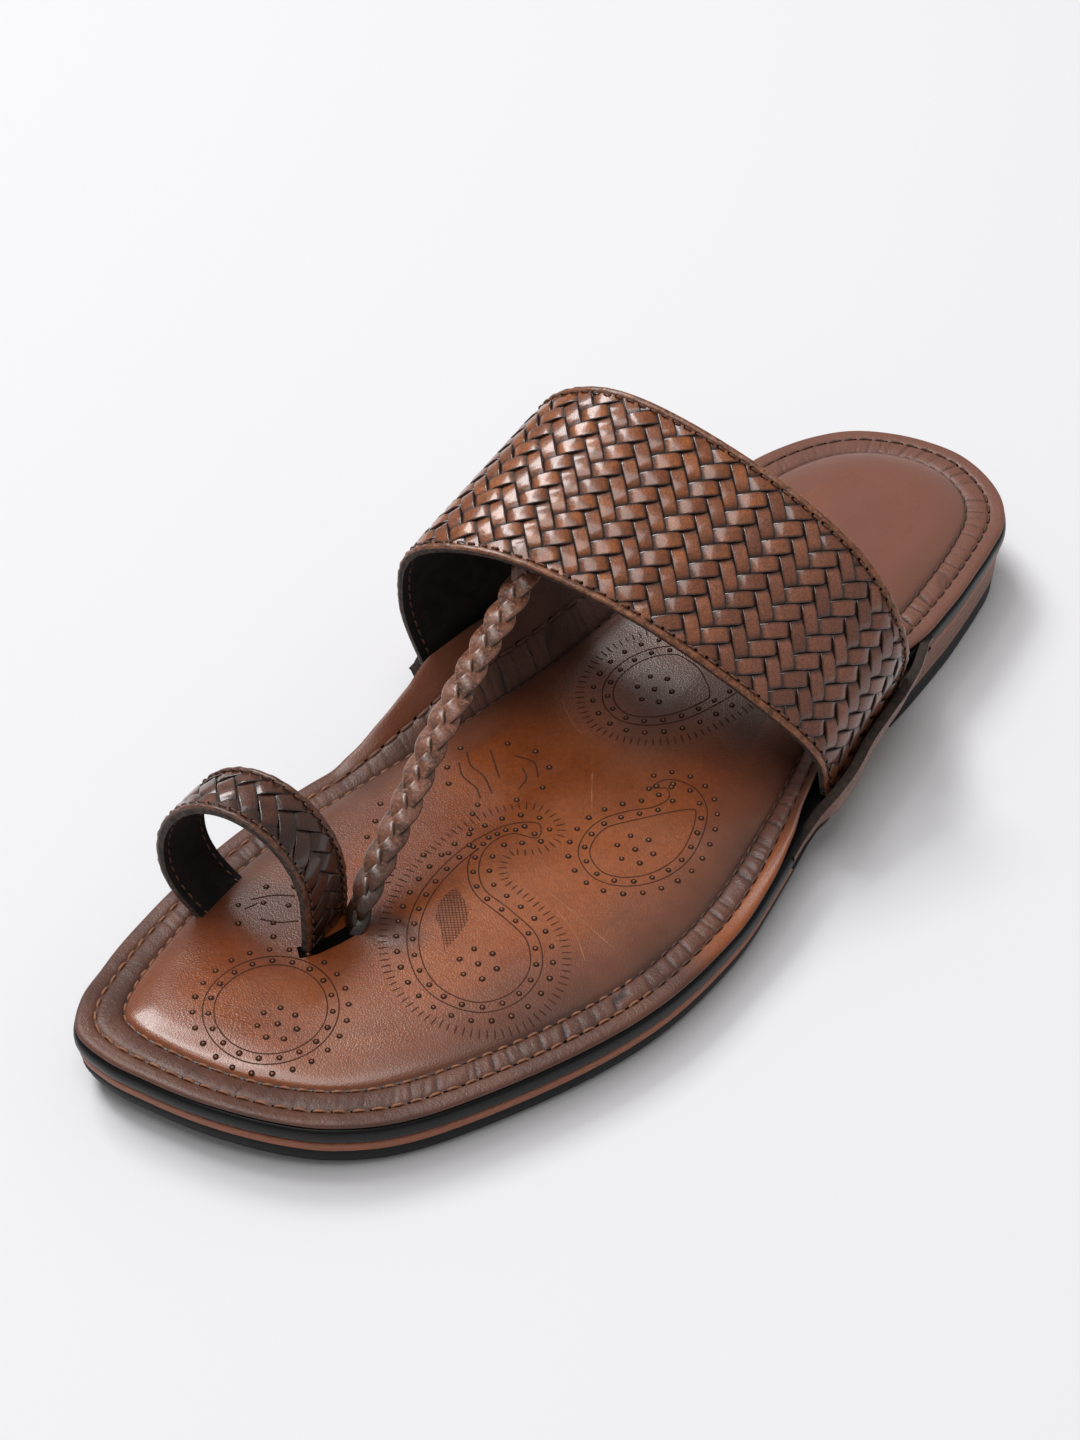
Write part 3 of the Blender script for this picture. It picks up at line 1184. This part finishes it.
def guideObject(name, grid, normals, flat, press):
    # the flat strap, carrying where each of its points belongs
    rows, cols = grid.shape[:2]
    index = np.arange(rows * cols).reshape(rows, cols)
    quads = np.stack([index[:-1, :-1], index[1:, :-1], index[1:, 1:], index[:-1, 1:]], axis=-1)
    points = np.column_stack([flat.reshape(-1, 2) * metre, np.zeros(rows * cols)])
    mesh = bpy.data.meshes.new(name)
    mesh.from_pydata(points.tolist(), [], quads.reshape(-1, 4).tolist())
    setVectors(mesh, "home", toScene(grid.reshape(-1, 3)))
    setVectors(mesh, "outward", normals)
    setNumbers(mesh, {"press": press})
    return newObject(name, mesh)


def tileObject(name, length, width, thick=0.95, overlap=0.5, level=1.05):
    # one float of a strip: flat and slightly crowned, its ends bent down under their neighbours
    half = length / 2 + overlap
    section = [(-1, -thick), (-1, -0.14), (-0.95, 0.0), (-0.82, 0.03), (0.82, 0.0), (0.95, -0.03),
               (1, -0.16), (1, -thick)]
    places = np.array([-1, -0.86, -0.74, -0.6, -0.35, 0.35, 0.6, 0.74, 0.86, 1])
    points, along, across = [], [], []
    for t in places:
        x = t * half
        bend = max(0, (abs(x) - (length / 2 - 2.1)) / (half - length / 2 + 2.1))
        z = level - 0.85 * bend ** 1.35 + 0.04 * (1 - t * t)
        for v, h in section:
            points.append((x, v * width / 2 * (1 - 0.03 * bend), z + h))
            along.append(x / (length / 2))
            across.append(v if h > -0.2 else v * 1.1)
    return markMesh(name, points, ringFaces(len(places), len(section)), {"along": along, "across": across})


def strapShell(name, grid, normals, spec, press):
    # lining, cut edges and the pressed ground under the weave, closed all round
    liningFace, edgeFace, groundFace = 0, 1, 2
    cols = grid.shape[1]
    ground = 0.45 + 0.55 * (1 - np.clip((press - 0.3) / 0.7, 0, 1))
    top = spec["lining"] + (spec["shell"] - spec["lining"]) * ground
    rimRows = [(0.03, 0.12), (0.0, 0.3), (0.0, 0.72), (0.02, 0.93)]
    rimHeight = spec["shell"] + 0.35

    def rim(side, inward, rows):
        edge, out = grid[:, side], normals[:, side]
        return [(edge + inward * inset * 3 + out * (rimHeight * share), edgeFace) for inset, share in rows]

    sections = [(grid[:, j], liningFace) for j in range(cols)]
    sections += rim(-1, unit(grid[:, -2] - grid[:, -1]), rimRows)
    sections += [(grid[:, j] + normals[:, j] * top[:, j][:, None], groundFace) for j in reversed(range(cols))]
    sections += rim(0, unit(grid[:, 1] - grid[:, 0]), rimRows[::-1])
    points = np.stack([line for line, _ in sections], axis=1)
    kinds = [kind for _, kind in sections]
    faces, sides, ends = tubeFaces(len(grid), len(sections))
    pairs = [(kinds[i], kinds[(i + 1) % len(kinds)]) for i in sides]
    finishes = [edgeFace if edgeFace in pair else pair[0] for pair in pairs] + [edgeFace, edgeFace]
    shell = makePiece(name, points.reshape(-1, 3), faces + ends,
                      [finish["lining"], finish["darkEdge"], finish["ground"]], finishes, sharpAngle=60)
    liesOutward(shell)
    finishPiece(shell, "leather_woven", "upper")


def liesOutward(piece):
    # turns the faces out if the closed shell came inside out
    work = bmesh.new()
    work.from_mesh(piece.data)
    if work.calc_volume(signed=True) < 0:
        bmesh.ops.reverse_faces(work, faces=work.faces)
    work.to_mesh(piece.data)
    work.free()


def offsetLine(grid, normals, flat, inset, height, back):
    # a line at a distance inside a strap's long edge, with its directions away
    width = np.linalg.norm(flat[:, -1] - flat[:, 0], axis=-1)
    share = inset / width
    share = 1 - share if back else share
    place = share * (grid.shape[1] - 1)
    low = np.minimum(place.astype(int), grid.shape[1] - 2)
    w = (place - low)[:, None]
    rows = np.arange(len(grid))
    p = grid[rows, low] * (1 - w) + grid[rows, low + 1] * w
    n = unit(normals[rows, low] * (1 - w) + normals[rows, low + 1] * w)
    return p + n * height, n


def edgeRim(name, grid, normals, flat, spec, base=1.0):
    # the flattened, rubbed edge of the strap between the stitching and the cut
    level, width = spec["level"], spec["width"]
    section = [(0.01, base), (0.0, level - 0.35), (0.12, level - 0.08), (0.4, level), (0.75, level - 0.04),
               (0.95, level - 0.3), (1.0, base)]
    for back in (False, True):
        rows = [offsetLine(grid, normals, flat, max(share * width, 0.001), height, back)[0]
                for share, height in section]
        strip = np.stack(rows, axis=1)
        wave = 0.1 * waves(np.arange(len(strip)), [(1, 4.3, 0), (0.7, 2.9, 1)])
        strip[:, 2:5] += (normals[:, -1 if back else 0] * wave[:, None])[:, None]
        faces, _, ends = tubeFaces(*strip.shape[:2])
        piece = makePiece(name + ("Back" if back else "Front"), strip.reshape(-1, 3), faces + ends,
                          [finish[spec["finish"]]], sharpAngle=70)
        liesOutward(piece)
        finishPiece(piece, "leather_woven", "upper")


def layFloats(name, guide, spec, first, steps, way, size, seed):
    # the floats of one direction; steps lead to the next column and to the next row
    flatVector = lambda pair: (*(pair * metre), 0.0)
    nextColumn, nextRow = steps
    tile = tileObject(name + "Tile", *size)
    values = {"Tile": tile, "Guide": guide, "Columns": spec["columns"], "Rows": spec["rows"],
              "First centre": flatVector(first - nextColumn * (spec["columns"] // 2)),
              "Column step": flatVector(nextColumn), "Row step": flatVector(nextRow),
              "Turn": math.atan2(way[1], way[0]), "Turn jitter": spec["jitter"],
              "Base height": spec["base"] * metre, "Seed": seed, "Finish": finish[spec["finish"]]}
    source = lineSource(name + "Start", [(np.zeros((1, 3)), np.zeros((1, 3)))])
    piece = finishPiece(runTree(name, source, weavingTree, values), "leather_woven", "upper")
    print(name, len(piece.data.polygons), "faces")
    drop(source, tile)


def stitchEdges(name, grid, normals, flat, spec):
    # rows along both edges, on the weave and on the lining
    s, seamIn = spec["stitch"], spec["seamIn"]
    lines = [offsetLine(grid, normals, flat, seamIn - s["in"], s["level"], back) for back in (False, True)]
    stitchLine(name + "Stitches", "leather_woven", lines, finish["darkThread"], s["pitch"], s["length"],
               s["thick"], seed=s["seeds"][0], rise=0.14, holeLift=s["holeLift"])
    lines = [offsetLine(grid, -normals, flat, seamIn, 0.1, back) for back in (False, True)]
    stitchLine(name + "LiningStitches", "leather_woven", lines, finish["darkThread"], s["pitch"],
               s["liningLength"], s["thick"], seed=s["seeds"][1], rise=0.1, holes=False)


def strapBody(name, spec, grid):
    # shell and guide of a woven strap
    normals = gridNormals(grid)
    flat = unrolled(grid + normals * spec["middle"])
    press = pressShape(edgeDistances(flat), spec["seamIn"])
    strapShell(name, grid, normals, spec, press)
    return normals, flat, press


def buildBand():
    b = bandSet
    grid = bandSurface()
    normals, flat, press = strapBody("bandShell", b, grid)
    guide = guideObject("bandGuide", grid, normals, flat, press)
    stepA, stepB = np.array(b["stepA"]), np.array(b["stepB"])
    lengthA, lengthB = np.linalg.norm(stepA), np.linalg.norm(stepB)
    origin = np.array(b["phase"]) - 0.5 * stepA
    steps = (4 * stepA, stepB - stepA)
    layFloats("bandFloatsAcross", guide, b["weave"], origin + 0.5 * stepA, steps, stepA,
              (2 * lengthA, lengthB * b["snug"]), 3)
    layFloats("bandFloatsAlong", guide, b["weave"], origin + 2.5 * stepB, steps, stepB,
              (2 * lengthB, lengthA * b["snug"]), 5)
    drop(guide)
    edgeRim("bandRim", grid, normals, flat, b["rim"])
    stitchEdges("band", grid, normals, flat, b)


def buildRing():
    r = ringSet
    grid = ringSurface()
    normals, flat, press = strapBody("toeRingShell", r, grid)
    guide = guideObject("ringGuide", grid, normals, flat, press)
    w = r["cell"] / math.sqrt(2)
    stepA, stepB = np.array([-w, w]), np.array([-w, -w])
    origin = np.array([r["phase"], w]) - 0.5 * stepA
    steps = (4 * stepA, stepA + stepB)
    size = (2 * r["cell"], r["cell"] * r["snug"])
    layFloats("ringFloatsBack", guide, r["weave"], origin + 0.5 * stepA, steps, stepA, size, 13)
    layFloats("ringFloatsFront", guide, r["weave"], origin - 2.5 * stepB, steps, stepB, size, 17)
    drop(guide)
    edgeRim("ringRim", grid, normals, flat, r["rim"])
    stitchEdges("ring", grid, normals, flat, r)


buildBand()
buildRing()
print("band and toe ring built")

# braid
braidSet = {
    "path": [(-8.6, -82.5, 15), (-9, -80, 19.3), (-10, -74.8, 25.9), (-14.2, -57.6, 35.1),
             (-17.9, -42.5, 44.1), (-22.4, -21.5, 53), (-26, -3, 60.2), (-27.6, 7.5, 69.8)],
    "strands": 3, "period": 21.0, "sway": 1.75, "heave": 0.85, "tilt": 0.42, "halfWidth": 2.1,
    "halfThick": 0.9, "around": 16, "step": 0.75, "smooth": 1200}


def buildBraid():
    s = braidSet
    spine = catmull(s["path"], s["smooth"])
    length = np.linalg.norm(np.diff(spine, axis=0), axis=1).sum()
    count, n = int(length / s["step"]), s["around"]
    spine = evenly(spine, count)
    way = unit(np.gradient(spine, axis=0))
    side = unit(np.cross(way, (0, 0, 1)))
    up = np.cross(side, way)
    along = np.linspace(0, length, count)
    taper = np.interp(along, [0, 5, 16], [0.62, 0.7, 1.0])
    outerFace, cutFace = 0, 1
    ringFinish = [outerFace if 0 < i < n // 2 - 1 else cutFace for i in range(n)]
    points, faces, finishes = [], [], []
    for strand in range(s["strands"]):
        phase = 2 * math.pi * (along / s["period"] + strand / s["strands"])
        x, z = s["sway"] * taper * np.sin(phase), s["heave"] * np.sin(2 * phase)
        centre = spine + side * x[:, None] + up * z[:, None]
        tangent = unit(np.gradient(centre, axis=0))
        flatUp = unit(up - tangent * np.sum(up * tangent, axis=1)[:, None])
        across = np.cross(tangent, flatUp)
        lean = unit(flatUp + across * (s["tilt"] * np.sin(phase))[:, None])
        across = np.cross(tangent, lean)
        first = len(points)
        for k in range(count):
            for i in range(n):
                a = 2 * math.pi * i / n
                c, h = math.cos(a), math.sin(a)
                w = s["halfWidth"] * taper[k] * math.copysign(abs(c) ** 0.5, c)
                t = s["halfThick"] * math.copysign(abs(h) ** 0.5, h) * (1.0 if h > 0 else 0.7)
                points.append(centre[k] + across[k] * w + lean[k] * t)
        faces += (first + turnedFaces(count, n)).tolist()
        faces.append(tuple(first + i for i in range(n - 1, -1, -1)))
        faces.append(tuple(first + (count - 1) * n + i for i in range(n)))
        finishes += ringFinish * (count - 1) + [cutFace, cutFace]
    piece = makePiece("braidStrands", points, faces, [finish["braid"], finish["darkEdge"]], finishes)
    liesOutward(piece)
    finishPiece(piece, "leather_woven", "upper")


buildBraid()
print("braid built")

# ears
earSet = {
    "medial": {"y": [-9.5, -4, 12, 44, 60, 74, 84], "inner": [7.6, 7.9, 8.7, 8.5, 6.0, 1.6, -2.4],
               "lean": [1.4, 2.2, 2.6, 2.4, 1.6, 0.4, 0], "top": [5, 8.6, 11, 9.6, 6.6, 1.5, -1],
               "floor": [3.2, 3.4, 3.6, 3, 1, -1.5, -2.4]},
    "lateral": {"y": [4, 16, 21, 38, 50, 60, 72, 80], "inner": [-2.4, -1.4, 1.7, 3.5, 3.6, 3.0, 0.2, -2.3],
                "lean": [0, 0, 0, 0.3, 0.7, 0.6, 0, 0], "top": [-0.3, 0.8, 5.4, 5.6, 5.2, 4.2, 2, -0.6],
                "floor": [-2.4, -1.4, 0.5, 0.6, 0.5, 0.2, -0.6, -2]},
    "wall": 2.6, "tab": 1.5, "tabDepth": 5.0, "pace": 1.4}


def buildEar(side):
    # a wall that stands beside the band, its foot folded in between rand and cover
    rows, wall, tab = earSet[side], earSet["wall"], earSet["tab"]
    sign = -1 if side == "medial" else 1
    edge = edgeCurve[edgeCurve[:, 0] * sign > 0]
    edge = edge[np.argsort(edge[:, 1])]
    start, stop = rows["y"][0], rows["y"][-1]
    ys = np.linspace(start, stop, int((stop - start) / earSet["pace"]) + 1)
    inner, lean, top, floor = (column(rows["y"], rows[key])(ys) for key in ("inner", "lean", "top", "floor"))
    edgeX = np.interp(ys, edge[:, 1], edge[:, 0] * sign)
    low, outer = randUnder(ys), inner + wall
    floor, top = randTop(ys) + floor, randTop(ys) + top
    knee = np.minimum(inner * 0.6, 0.3)
    fall = np.minimum(0.5, (top - floor) * 0.3 + 0.25)
    tabEnd = low * 0 - earSet["tabDepth"]
    face, cut = 0, 1
    section = [
        (tabEnd, low, cut), (np.maximum(outer * 0.45, -1), low, cut),
        (outer - 1.6, np.maximum(floor - wall, low + 0.6), face),
        (outer - 0.5, np.maximum(floor - wall * 0.45, low + 1.2), face),
        (outer + lean * 0.55, (top + floor) / 2, face), (outer + lean, top - fall, face),
        (outer + lean - 0.1, top - 0.12, cut), (outer + lean - 0.45, top, cut),
        ((outer + inner) / 2 + lean, top + 0.06, cut), (inner + lean + 0.4, top - 0.02, cut),
        (inner + lean, top - 0.3, cut), (inner, np.minimum(floor, top - 0.4), cut),
        (np.minimum(knee, inner - 0.4), low + tab, cut), (tabEnd, low + tab, cut)]
    points = np.stack([np.stack([sign * (edgeX + out), ys, z], axis=-1) for out, z, _ in section], axis=1)
    kinds = [kind for _, _, kind in section]
    shoulder = 5  # the strip between the outer face and the rim
    faces, sides, ends = tubeFaces(len(ys), len(section))
    bothFace = [kinds[i] == face and kinds[(i + 1) % len(kinds)] == face for i in sides]
    finishes = [face if both or i == shoulder else cut for both, i in zip(bothFace, sides)] + [cut, cut]
    piece = makePiece("ear" + side.title(), points.reshape(-1, 3), faces + ends,
                      [finish["ear"], finish["earRim"]], finishes, sharpAngle=48)
    liesOutward(piece)
    finishPiece(piece, "leather_edge", "ear_" + side)


buildEar("medial")
buildEar("lateral")

# stitching and tooling of the footbed
padTree = BVHTree.FromObject(footbed, bpy.context.evaluated_depsgraph_get())


def laidOn(flat):
    # points of the footbed's upper surface under these plan positions, with their normals
    points, ways = [], []
    for x, y in np.asarray(flat, float):
        hit, normal, _, _ = padTree.ray_cast(Vector(toScene((x, y, 90))), Vector((0, 0, -1)))
        if hit is None:
            continue
        points.append(np.array(hit) * 1000 - frameShift)
        ways.append(np.array(normal) if normal.z > 0 else -np.array(normal))
    return np.array(points), np.array(ways)


seamSet = {  # thread, pitch, length and thickness of each state
    "outer": {"inset": 4.5, "fresh": ("thread", 4.1, 3.2, 0.72), "worn": ("wornThread", 4.1, 3.2, 0.66),
              "flap": ("darkThread", 5.4, 4.9, 1.0)},
    "inner": {"inset": 9.5, "fresh": ("thread", 3.7, 2.9, 0.66), "worn": ("wornThread", 3.7, 2.8, 0.6)},
    "wornFrom": {"medial": 0, "lateral": -50}, "flapSpan": (-46, 72), "count": 2800}


def seamLine(inset):
    # the seam as it follows the cover, flaps and all
    count = seamSet["count"]
    ring, away, back = (coverPoints(inset + shift, coverTop, count) for shift in (0, -0.5, 0.5))
    along = np.roll(ring, -1, axis=0) - np.roll(ring, 1, axis=0)
    normal = np.cross(away - back, along)
    normal = unit(normal * np.sign(normal[:, 2])[:, None])
    ring[:, 2] += footbedDetail(inset, count)[0]
    return ring, normal


def stitchSeams():
    # tan thread round the toe, dark and worn toward the heel, long stitches over the medial flap
    wornFrom, flapSpan = seamSet["wornFrom"], seamSet["flapSpan"]
    for name in ("outer", "inner"):
        spec = seamSet[name]
        ring, normal = seamLine(spec["inset"])
        medial, y = ring[:, 0] < 0, ring[:, 1]
        kind = np.where(y > np.where(medial, wornFrom["medial"], wornFrom["lateral"]), "worn", "fresh")
        if "flap" in spec:
            kind[medial & (y > flapSpan[0]) & (y < flapSpan[1])] = "flap"
        first = -int(np.argmax(kind != np.roll(kind, 1)))
        ring, normal, kind = (np.roll(v, first, axis=0) for v in (ring, normal, kind))
        cuts = [0, *(np.flatnonzero(kind[1:] != kind[:-1]) + 1), len(kind)]
        for n, (start, stop) in enumerate(zip(cuts, cuts[1:])):
            thread, pitch, length, thick = spec[str(kind[start])]
            line = [((ring + normal * 0.2)[start:stop], normal[start:stop])]
            stitchLine(f"{name}Seam{n + 1}", "leather_brown", line, finish[thread], pitch, length, thick,
                       seed=21 + n, jitter=0.1)


stitchSeams()
print("footbed seams stitched")

toolingSet = {
    "lineWidth": 0.3, "lift": 0.045, "fineLift": 0.04, "dot": 0.72, "dotPitch": 4.6, "tickPitch": 1.75,
    "tickLength": 2.5, "tickWidth": 0.36, "tickStart": 4.2, "innerLine": 2.6, "dotLines": (-1.3, 2.4),
    "strokeWidth": 0.4, "scuffWidth": 0.22, "hatchWidth": 0.2, "hatchStep": 1.0, "slotWidth": 3.4,
    "slotLift": 0.06}
motifs = {  # outlines in plan, from the tip of the tail down its outer side
    "wing": {"outline": [(4.5, -33), (2, -29.5), (-2.5, -33), (-5.5, -40.5), (-6.5, -51), (-4.5, -63.5),
                         (1, -74), (10, -81.5), (18.5, -83.5), (27.5, -80.5), (32, -73), (31, -63.5),
                         (24, -56), (14.5, -54), (5.5, -53), (0, -48.5), (-2.5, -42.5), (-1, -36)],
             "ticks": True, "cluster": (18.9, -70.4),
             "hatch": [(0.2, -57), (3.4, -58), (7.4, -60.3), (9.6, -64), (10.4, -68), (10.8, -72.5),
                       (8.4, -70), (5, -68), (2, -65.4), (0.2, -61.5)]},
    "side": {"outline": [(15, -4), (16, 0), (20, 2), (24, 2), (29, -1), (33, -8), (35, -17), (33, -26),
                         (28, -32), (22, -34), (15, -31), (12, -25), (12, -19), (15, -13), (19, -8),
                         (20, -4), (18, -2)],
             "ticks": False, "cluster": (23.7, -21)},
    "waist": {"outline": [(13, 40), (9, 44), (6, 41), (5, 37), (1, 35), (-7, 35), (-13, 30), (-16, 22),
                          (-15, 15), (-11, 10), (-5, 8), (1, 10), (7, 16), (11, 25), (13, 33)],
              "ticks": True, "cluster": (-3.9, 20.7)}}
toeCircle = {
    "centre": (-7, -109.2), "lines": (14.8, 12.3), "dots": (13.5, 16.9), "rosette": ((-3.0, -111.2), 4.4, 7)}
strokes = [  # loose sprigs beside the large leaf, under the ring and at the foot of the braid
    [(-27, -22), (-23, -25), (-18, -26), (-13, -29)], [(-26, -26), (-22, -29), (-17, -30), (-14, -32)],
    [(-23, -18), (-19, -21), (-15, -24)], [(-13, -18), (-10, -20), (-9, -24)],
    [(-17, -16), (-12, -15), (-8, -18)],
    [(-33, -89), (-30, -85), (-26, -82)], [(-32, -92), (-31, -89)], [(-27, -92), (-23, -90), (-20, -87)],
    [(-15, -68), (-12, -65)], [(-16, -66), (-13, -63)], [(-17, -64), (-14, -61)]]
looseDots = {
    "sprig": [(-29, -22), (-27, -29), (-23, -33), (-13, -34), (-7, -27), (-5, -20), (-8, -14), (-14, -12),
              (-21, -14)],
    "underRing": [(-33, -84), (-28, -80), (-25, -85), (-30, -88), (-24, -91), (-34, -92), (-30, -96),
                  (-21, -94)],
    "hidden": [(-31, -48), (-28, -53), (-26, -58), (-9, -41), (-6, -45), (-8, -50), (-12, -54), (-27, -44),
               (-12, -37)]}
scuffs = [
    [(16, -44), (24, -45), (38, -47)], [(22, -47), (30, -50), (36, -54)], [(10, -20), (5, -14), (1, -9)],
    [(-20, 5), (-14, 1), (-9, -1)]]
slotLine = [(-13.4, -94), (-11.6, -91.4), (-10.2, -87.4), (-9.2, -83.4), (-8.6, -79.8)]


def roundAngles(count):
    return np.linspace(0, 2 * math.pi, count, endpoint=False)


def circleLine(centre, radius, count=90):
    a = roundAngles(count)
    return np.column_stack([centre[0] + radius * np.cos(a), centre[1] + radius * np.sin(a)])


def rosette(centre, radius=4.3, count=6):
    a = roundAngles(count) + 0.4
    ring = [(centre[0] + radius * math.cos(v), centre[1] + radius * math.sin(v)) for v in a]
    return np.array([centre] + ring)


def outwardPlan(loop):
    way = alongLoop(loop)
    normal = np.stack([way[:, 1], -way[:, 0]], axis=1)
    area = np.sum(loop[:, 0] * np.roll(loop[:, 1], -1) - loop[:, 1] * np.roll(loop[:, 0], -1))
    return normal * (1 if area > 0 else -1)


def smoothLoop(loop, times):
    for _ in range(times):
        loop = (np.roll(loop, 1, axis=0) + 2 * loop + np.roll(loop, -1, axis=0)) / 4
    return loop


def offsetPlan(loop, distance):
    grown = smoothLoop(loop + outwardPlan(loop) * distance, 8 if distance > 0 else 3)
    return evenly(grown, 240, closed=True)


def insidePlan(points, loop):
    x, y = points[:, 0][:, None], points[:, 1][:, None]
    ax, ay = loop[:, 0][None], loop[:, 1][None]
    bx, by = np.roll(loop[:, 0], -1)[None], np.roll(loop[:, 1], -1)[None]
    crosses = ((ay > y) != (by > y)) & (x < (bx - ax) * (y - ay) / (by - ay + 1e-12) + ax)
    return crosses.sum(axis=1) % 2 == 1


def paisleyLine(spec, shrink=0.0):
    outline = evenly(catmull(spec["outline"], 400, closed=True), 240, closed=True)
    if shrink:
        keep = np.linalg.norm(outline - np.array(spec["outline"][0]), axis=1) > 13
        outline = (outline - outwardPlan(outline) * shrink)[keep]
        outline = evenly(smoothLoop(outline, 10), 200, closed=True)
    return outline


def ribbonPiece(name, lines, width, lift, material, closed=False):
    # lines drawn on the footbed, given in plan
    source = lineSource(name, [laidOn(line) for line in lines], closed)
    values = {"Width": width * metre, "Lift": lift * metre, "Finish": finish[material]}
    finishPiece(runTree(name, source, ribbonsTree, values), "leather_brown")
    drop(source)


def markPiece(name, lines, mark, material, closed=False, **values):
    # marks along lines, given with their directions away
    source = lineSource(name, lines, closed)
    values = {key.replace("_", " "): value for key, value in values.items()}
    values = {"Mark": mark, "Turn": 0.0, "Finish": finish[material], **values}
    finishPiece(runTree(name, source, marksTree, values), "leather_brown")
    drop(source)


def tool(name, loops, dots, ticks, clusterDots):
    # engraved lines, punched dots and short ticks of one motif
    t = toolingSet
    dot = t["dot"]
    if loops:
        ribbonPiece(name + "Lines", loops, t["lineWidth"], t["lift"], "engraved", closed=True)
    dimple = discMark("dimpleMark", (dot, dot * 0.86, dot * 0.55), (0.03, 0.1, 0.05), 10)
    bead = discMark("beadMark", (dot * 0.46, dot * 0.36, dot * 0.16), (0.06, 0.26, 0.34), 8)
    tick = discMark("tickMark", (0.5, 0.3), (0.03, 0.05), 8)
    tick.data.transform(Matrix.Diagonal((t["tickLength"], t["tickWidth"], 1, 1)))
    rows = [("Dots", dots, dimple, "punched", t["dotPitch"], 0.0),
            ("Beads", dots, bead, "bead", t["dotPitch"], 0.0),
            ("Ticks", ticks, tick, "engraved", t["tickPitch"], math.pi / 2)]
    for key, loops, mark, material, pitch, turn in rows:
        if loops:
            markPiece(name + key, [laidOn(line) for line in loops], mark, material, closed=True,
                      Pitch=pitch * metre, Turn=turn, Turn_jitter=0.07, Size_jitter=0.08, Seed=31)
    points, ways = laidOn(clusterDots)
    short = [(np.array([p - (0.01, 0, 0), p + (0.01, 0, 0)]), np.array([w, w])) for p, w in zip(points, ways)]
    for key, mark, material in (("Cluster", dimple, "punched"), ("ClusterBeads", bead, "bead")):
        markPiece(name + key, short, mark, material, Pitch=0.004, Turn_jitter=0.0, Size_jitter=0.1, Seed=33)
    drop(dimple, bead, tick)


def toolMotifs():
    t = toolingSet
    for name, spec in motifs.items():
        outer, inner = paisleyLine(spec), paisleyLine(spec, t["innerLine"])
        dots = [offsetPlan(outer, distance) for distance in t["dotLines"]]
        ticks = [offsetPlan(outer, t["tickStart"] + t["tickLength"] / 2)] if spec["ticks"] else []
        tool(name + "Paisley", [outer, inner], dots, ticks, rosette(spec["cluster"]))
    lines, dots = ([circleLine(toeCircle["centre"], r) for r in toeCircle[key]] for key in ("lines", "dots"))
    tool("toeCircle", lines, dots, [], rosette(*toeCircle["rosette"]))


def drawStrokes(name, lines, width, lift, material):
    ribbonPiece(name, [catmull(line, 40) for line in lines], width, lift, material)


def toolFreehand():
    # curved strokes with dots round them, and worn patches of short cuts
    t = toolingSet
    drawStrokes("sprigStrokes", strokes, t["strokeWidth"], t["lift"], "engraved")
    for key, spots in looseDots.items():
        tool(key + "Dots", [], [], [], spots)
    drawStrokes("scuffLines", scuffs, t["scuffWidth"], t["fineLift"], "scuff")


def hatchTear():
    # crossed fine lines inside the large paisley, stained dark
    t = toolingSet
    outline = evenly(catmull(motifs["wing"]["hatch"], 120, closed=True), 90, closed=True)
    low, high = outline.min(axis=0), outline.max(axis=0)
    lines = []
    for slope in (0.9, -0.9):
        for start in np.arange(low[1] - 14, high[1] + 14, t["hatchStep"]):
            run = np.linspace(low[0], high[0], 60)
            row = np.column_stack([run, start + slope * (run - low[0])])
            inside = insidePlan(row, outline)
            if inside.sum() > 6:
                lines.append(row[inside])
    ribbonPiece("hatchLines", lines, t["hatchWidth"], t["fineLift"], "hatched")


toolMotifs()
toolFreehand()
hatchTear()
# dark cut in the cover where the lateral leg of the ring and the foot of the braid go in
drawStrokes("footSlot", [slotLine], toolingSet["slotWidth"], toolingSet["slotLift"], "hole")
print("tooling done")

# studio, in metres and watts
studioSet = {
    "floor": (0.718, 0.72, 0.743), "floorReach": 4, "floorLevel": -0.0003,
    "sky": (1.0, 0.97, 0.95, 1), "skyStrength": 0.37,
    "softboxes": [  # name, place, aim, size, power
        ("windowSoftbox", (-1.95, 0.4, 2.7), (0, 0, 0.02), (1.25, 1.1), 54),
        ("topSoftbox", (0.15, -0.55, 2.7), (0, 0, 0), (1.5, 1.15), 22),
        ("toeSoftbox", (-1.15, -0.28, 2.9), (0, 0, 0), (0.5, 1.25), 26)]}


def areaLight(name, place, aim, size, power):
    data = bpy.data.lights.new(name, "AREA")
    data.shape = "RECTANGLE"
    data.size, data.size_y = size
    data.energy = power
    light = newObject(name, data)
    light.location = place
    light.rotation_mode = "QUATERNION"
    light.rotation_quaternion = (Vector(aim) - Vector(place)).to_track_quat("-Z", "Y")


def buildStudio():
    s = studioSet
    reach, level = s["floorReach"], s["floorLevel"]
    mesh = bpy.data.meshes.new("studioFloor")
    corners = [(x * reach, y * reach, level) for x, y in ((-1, -1), (1, -1), (1, 1), (-1, 1))]
    mesh.from_pydata(corners, [], [(0, 1, 2, 3)])
    mesh.materials.append(shader("paleFloor", s["floor"], 0.75, Specular_IOR_Level=0.2)[0])
    floor = newObject("studioFloor", mesh)
    world = bpy.data.worlds.new("studioWorld")
    bpy.context.scene.world = world
    world.use_nodes = True
    world.node_tree.nodes["Background"].inputs[0].default_value = s["sky"]
    world.node_tree.nodes["Background"].inputs[1].default_value = s["skyStrength"]
    for row in s["softboxes"]:
        areaLight(*row)
    bpy.context.scene.view_settings.view_transform = "Standard"
    bpy.context.scene.view_settings.look = "None"


buildStudio()
